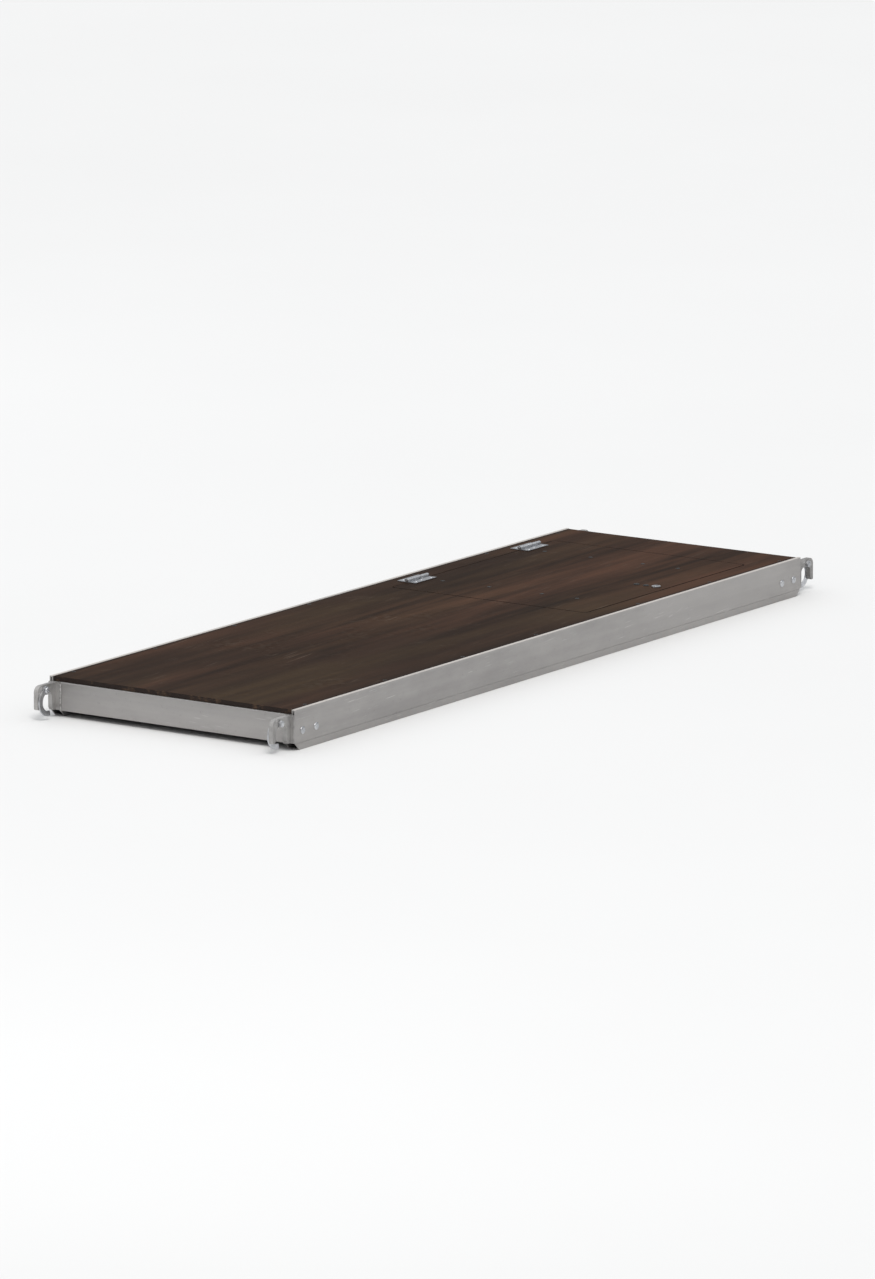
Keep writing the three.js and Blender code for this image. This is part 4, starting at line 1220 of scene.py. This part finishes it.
knob = Box("latch_knob")
rings = []
for share, height in KNOB_PROFILE:
    radius = knob.size.x / 2 * share
    rings.append((fluted(radius) if 0.09 < height < 0.9 else radius, knob.size.z * height))
mesh = ring_solid("grip_knob", rings, 80)
mesh.transform(Matrix.Translation((knob.centre.x, knob.centre.y, knob.low.z)))
mesh.materials.append(PLASTIC)
register(object_of("grip_knob", mesh), "latch", ["latch_knob"])
print("knob", [round(x * 1000, 1) for x in knob.size])

# %% [markdown]
# ## The pull strap
#
# A short strap of webbing hangs from the trapdoor so that someone below can pull it shut. Webbing
# is flat with rounded edges, so it is a flattened section swept along the strap's path. The last
# part is folded back and sewn, which makes it thicker there. The section's UV map carries the
# distance along and round the strap for the weave.

# %% The strap's path
STRAP_UPPER_BEND = 8 * MM
STRAP_LOWER_BEND = 26 * MM
STRAP_DOWN_X = -8 * MM  # where it hangs
PATH_STEP = 1.0 * MM
STRAP_THICK = 2.6 * MM
STRAP_THIN = 1.9 * MM
HEM_LENGTH = 30 * MM
SECTION_SIDES = 28


def line(start, end):
    start, end = Vector((start[0], 0, start[1])), Vector((end[0], 0, end[1]))
    count = max(1, round((end - start).length / PATH_STEP))
    return [start.lerp(end, i / count) for i in range(count + 1)]


def arc(centre, radius, start, end):
    count = max(6, round(abs(math.radians(end - start)) * radius / PATH_STEP))
    turns = [math.radians(start + (end - start) * i / count) for i in range(count + 1)]
    return [centre + Vector((math.cos(t), 0, math.sin(t))) * radius for t in turns]


def strap_path():
    """Points along the strap's middle, from the clamp to the free end."""
    top = strap_box.high.z - STRAP_THICK / 2
    bottom = strap_box.low.z + STRAP_THICK / 2
    upper = Vector((STRAP_DOWN_X + STRAP_UPPER_BEND, 0, top - STRAP_UPPER_BEND))
    lower = Vector((STRAP_DOWN_X - STRAP_LOWER_BEND, 0, bottom + STRAP_LOWER_BEND))
    pieces = [line((strap_box.high.x, top), (upper.x, top)),
              arc(upper, STRAP_UPPER_BEND, 90, 180),
              line((STRAP_DOWN_X, upper.z), (STRAP_DOWN_X, lower.z)),
              arc(lower, STRAP_LOWER_BEND, 0, -90),
              line((lower.x, bottom), (strap_box.low.x, bottom))]
    return [point for piece in pieces for point in piece[:-1]] + [pieces[-1][-1]]


path = strap_path()
lengths = [0.0]
for first, second in zip(path, path[1:]):
    lengths.append(lengths[-1] + (second - first).length)
print("strap length", round(lengths[-1] * 1000, 1), "mm")


# %% The webbing's section
HEM_STEP = 1.2 * MM  # over which the hem's extra layer ends


def thickness_way(index):
    """The direction of the strap's thickness at a point of the path."""
    before, after = path[max(0, index - 1)], path[min(len(path) - 1, index + 1)]
    return (after - before).normalized().cross(Vector((0, 1, 0)))


def strap_thickness(length):
    hem = (lengths[-1] - HEM_LENGTH - length) / HEM_STEP
    return STRAP_THICK + (STRAP_THIN - STRAP_THICK) * min(1.0, max(0.0, hem))


def squared(share, power):
    """Pushes a sine or cosine towards 1 or -1, which turns a circle into a rounded rectangle."""
    return abs(share) ** power * math.copysign(1, share)


def section(index):
    """The strap's outline at a point of the path."""
    half_width = strap_box.size.y / 2
    half = strap_thickness(lengths[index]) / 2
    outline = []
    for side in range(SECTION_SIDES):
        turn = math.tau * side / SECTION_SIDES
        flat = Vector((0, strap_box.centre.y + squared(math.cos(turn), 0.22) * half_width, 0))
        thick = thickness_way(index) * squared(math.sin(turn), 0.6) * half
        outline.append(path[index] + flat + thick)
    return outline


# %% Sweeping the webbing
def swept_strap():
    """The outlines joined by faces, with the distances along and round the strap as its UV map."""
    work = bmesh.new()
    uv = work.loops.layers.uv.new("weave")
    rows = [[work.verts.new(place) for place in section(i)] for i in range(len(path))]
    for i, (lower, upper) in enumerate(zip(rows, rows[1:])):
        for side in range(SECTION_SIDES):
            ahead = (side + 1) % SECTION_SIDES
            face = work.faces.new((lower[side], lower[ahead], upper[ahead], upper[side]))
            spots = [(i, side), (i, side + 1), (i + 1, side + 1), (i + 1, side)]
            for loop, (along, around) in zip(face.loops, spots):
                loop[uv].uv = (lengths[along] / lengths[-1], around / SECTION_SIDES * 2)
    work.faces.new(rows[0][::-1])
    work.faces.new(rows[-1])
    bmesh.ops.recalc_face_normals(work, faces=work.faces)
    mesh = bpy.data.meshes.new("webbing_strap")
    work.to_mesh(mesh)
    work.free()
    return mesh


mesh = swept_strap()
shade_by_angle(mesh, SOFT_EDGE_ANGLE)
mesh.materials.append(WEBBING)
webbing_strap = register(object_of("webbing_strap", mesh), "hatch", ["pull_strap"])

# %% [markdown]
# ## Stitches
#
# The hem is held by a box of stitches with a cross in it. Every edge of a small guide mesh gets
# a row of stitches: the tree turns it into a curve, drops points on it at the stitch pitch, and
# puts a short rounded thread on each.


# %% The stitch tree
STITCH_PITCH = 2.4 * MM
STITCH_SHAPE = (1.0, 0.8, 2.6)  # of the ball that a stitch is made from
THREAD_RADIUS = 0.42 * MM


def stitch_tree():
    """Short threads in rows along loose edges."""
    tree = Shaper("stitches", Pitch="Float", Thread="Float", Finish="Material")
    path = tree.node("GeometryNodeMeshToCurve", None, [tree.given("Geometry")])
    values = {"Curve": path, "Length": tree.given("Pitch")}
    points = tree.node("GeometryNodeCurveToPoints", {"mode": "LENGTH"}, values)
    values = {"Radius": tree.given("Thread"), "Subdivisions": 2}
    ball = tree.node("GeometryNodeMeshIcoSphere", None, values)
    values = {"Geometry": ball, "Scale": STITCH_SHAPE}
    thread = tree.node("GeometryNodeTransform", None, values)
    values = {"Points": points, "Instance": thread, "Rotation": points.output("Rotation")}
    tree.finish(tree.node("GeometryNodeInstanceOnPoints", None, values))
    return tree


# %% The hem's stitches
HEM_INSET = 4 * MM
start_x, end_x = strap_box.low.x + HEM_LENGTH - HEM_INSET, strap_box.low.x + HEM_INSET
near_y, far_y = strap_box.low.y + HEM_INSET, strap_box.high.y - HEM_INSET
rows = []
for z in (strap_box.low.z + STRAP_THICK, strap_box.low.z):
    box = [(start_x, near_y, z), (start_x, far_y, z), (end_x, far_y, z), (end_x, near_y, z)]
    rows += [[box[i], box[(i + 1) % 4]] for i in range(4)]
    rows += [[box[0], box[2]], [box[1], box[3]]]
stitches = object_of("hem_stitches", edges_mesh("hem_stitches", rows))
stitch_tree().grow(stitches, Pitch=STITCH_PITCH, Thread=THREAD_RADIUS, Finish=THREAD)
register(stitches, "hatch")
print("stitches:", len(stitches.data.polygons), "faces")

# %% [markdown]
# ## The strap's own meshes and clamp screws
#
# When the trapdoor opens, its underside turns upright and the strap falls against it. Here the
# strap and its stitches only get meshes of their own and aren't flattened. Two screws through a
# clamp plate hold the strap's other end.

# %% The strap and its stitches get their own meshes
for soft in (webbing_strap, stitches):
    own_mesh(soft)

# %% Strap screws
CLAMP_LOBE_RADIUS = 1.6 * MM
CLAMP_SOCKET_DEPTH = 1.2 * MM
clamp = Box("strap_plate")
screws = [Box("strap_screw_1"), Box("strap_screw_2")]
places = [((s.centre.x, s.centre.y, clamp.low.z), DOWN) for s in screws]
radius = screws[0].size.x / 2
rise = clamp.low.z - screws[0].low.z
lobes = six_lobes(CLAMP_LOBE_RADIUS)
rings = dome(radius, rise, 4, radius * 0.55) + [(lobes, rise), (lobes, rise - CLAMP_SOCKET_DEPTH)]
place_heads("strap_clamp_screws", ring_solid("strap_screw", rings, 36), places, ZINC, "hatch",
            ["strap_screw_1", "strap_screw_2"], seed=11)

# %% [markdown]
# ## The floor
#
# The floor is one broad pale plane just under the plank's feet, and it rides on no body.

# %% Floor
FLOOR_HALF = 60  # metres
FLOOR_DROP = 0.4 * MM
FLOOR_PALE = (0.735, 0.735, 0.735)
FLOOR_PALER = (0.76, 0.76, 0.76)
floor_mesh = bpy.data.meshes.new("floor")
floor_corners = [(-FLOOR_HALF, -FLOOR_HALF, 0), (FLOOR_HALF, -FLOOR_HALF, 0),
                 (FLOOR_HALF, FLOOR_HALF, 0), (-FLOOR_HALF, FLOOR_HALF, 0)]
floor_mesh.from_pydata(floor_corners, [], [(0, 1, 2, 3)])
pale = Finish("pale_floor", None, Specular_IOR_Level=0.2)
floor_mesh.materials.append(pale.done(pale.mix(pale.noise(0.8), FLOOR_PALE, FLOOR_PALER), 0.7))
floor = object_of("floor", floor_mesh)
floor.location.z = -FLOOR_DROP

# %% Sizes
bpy.context.view_layer.update()
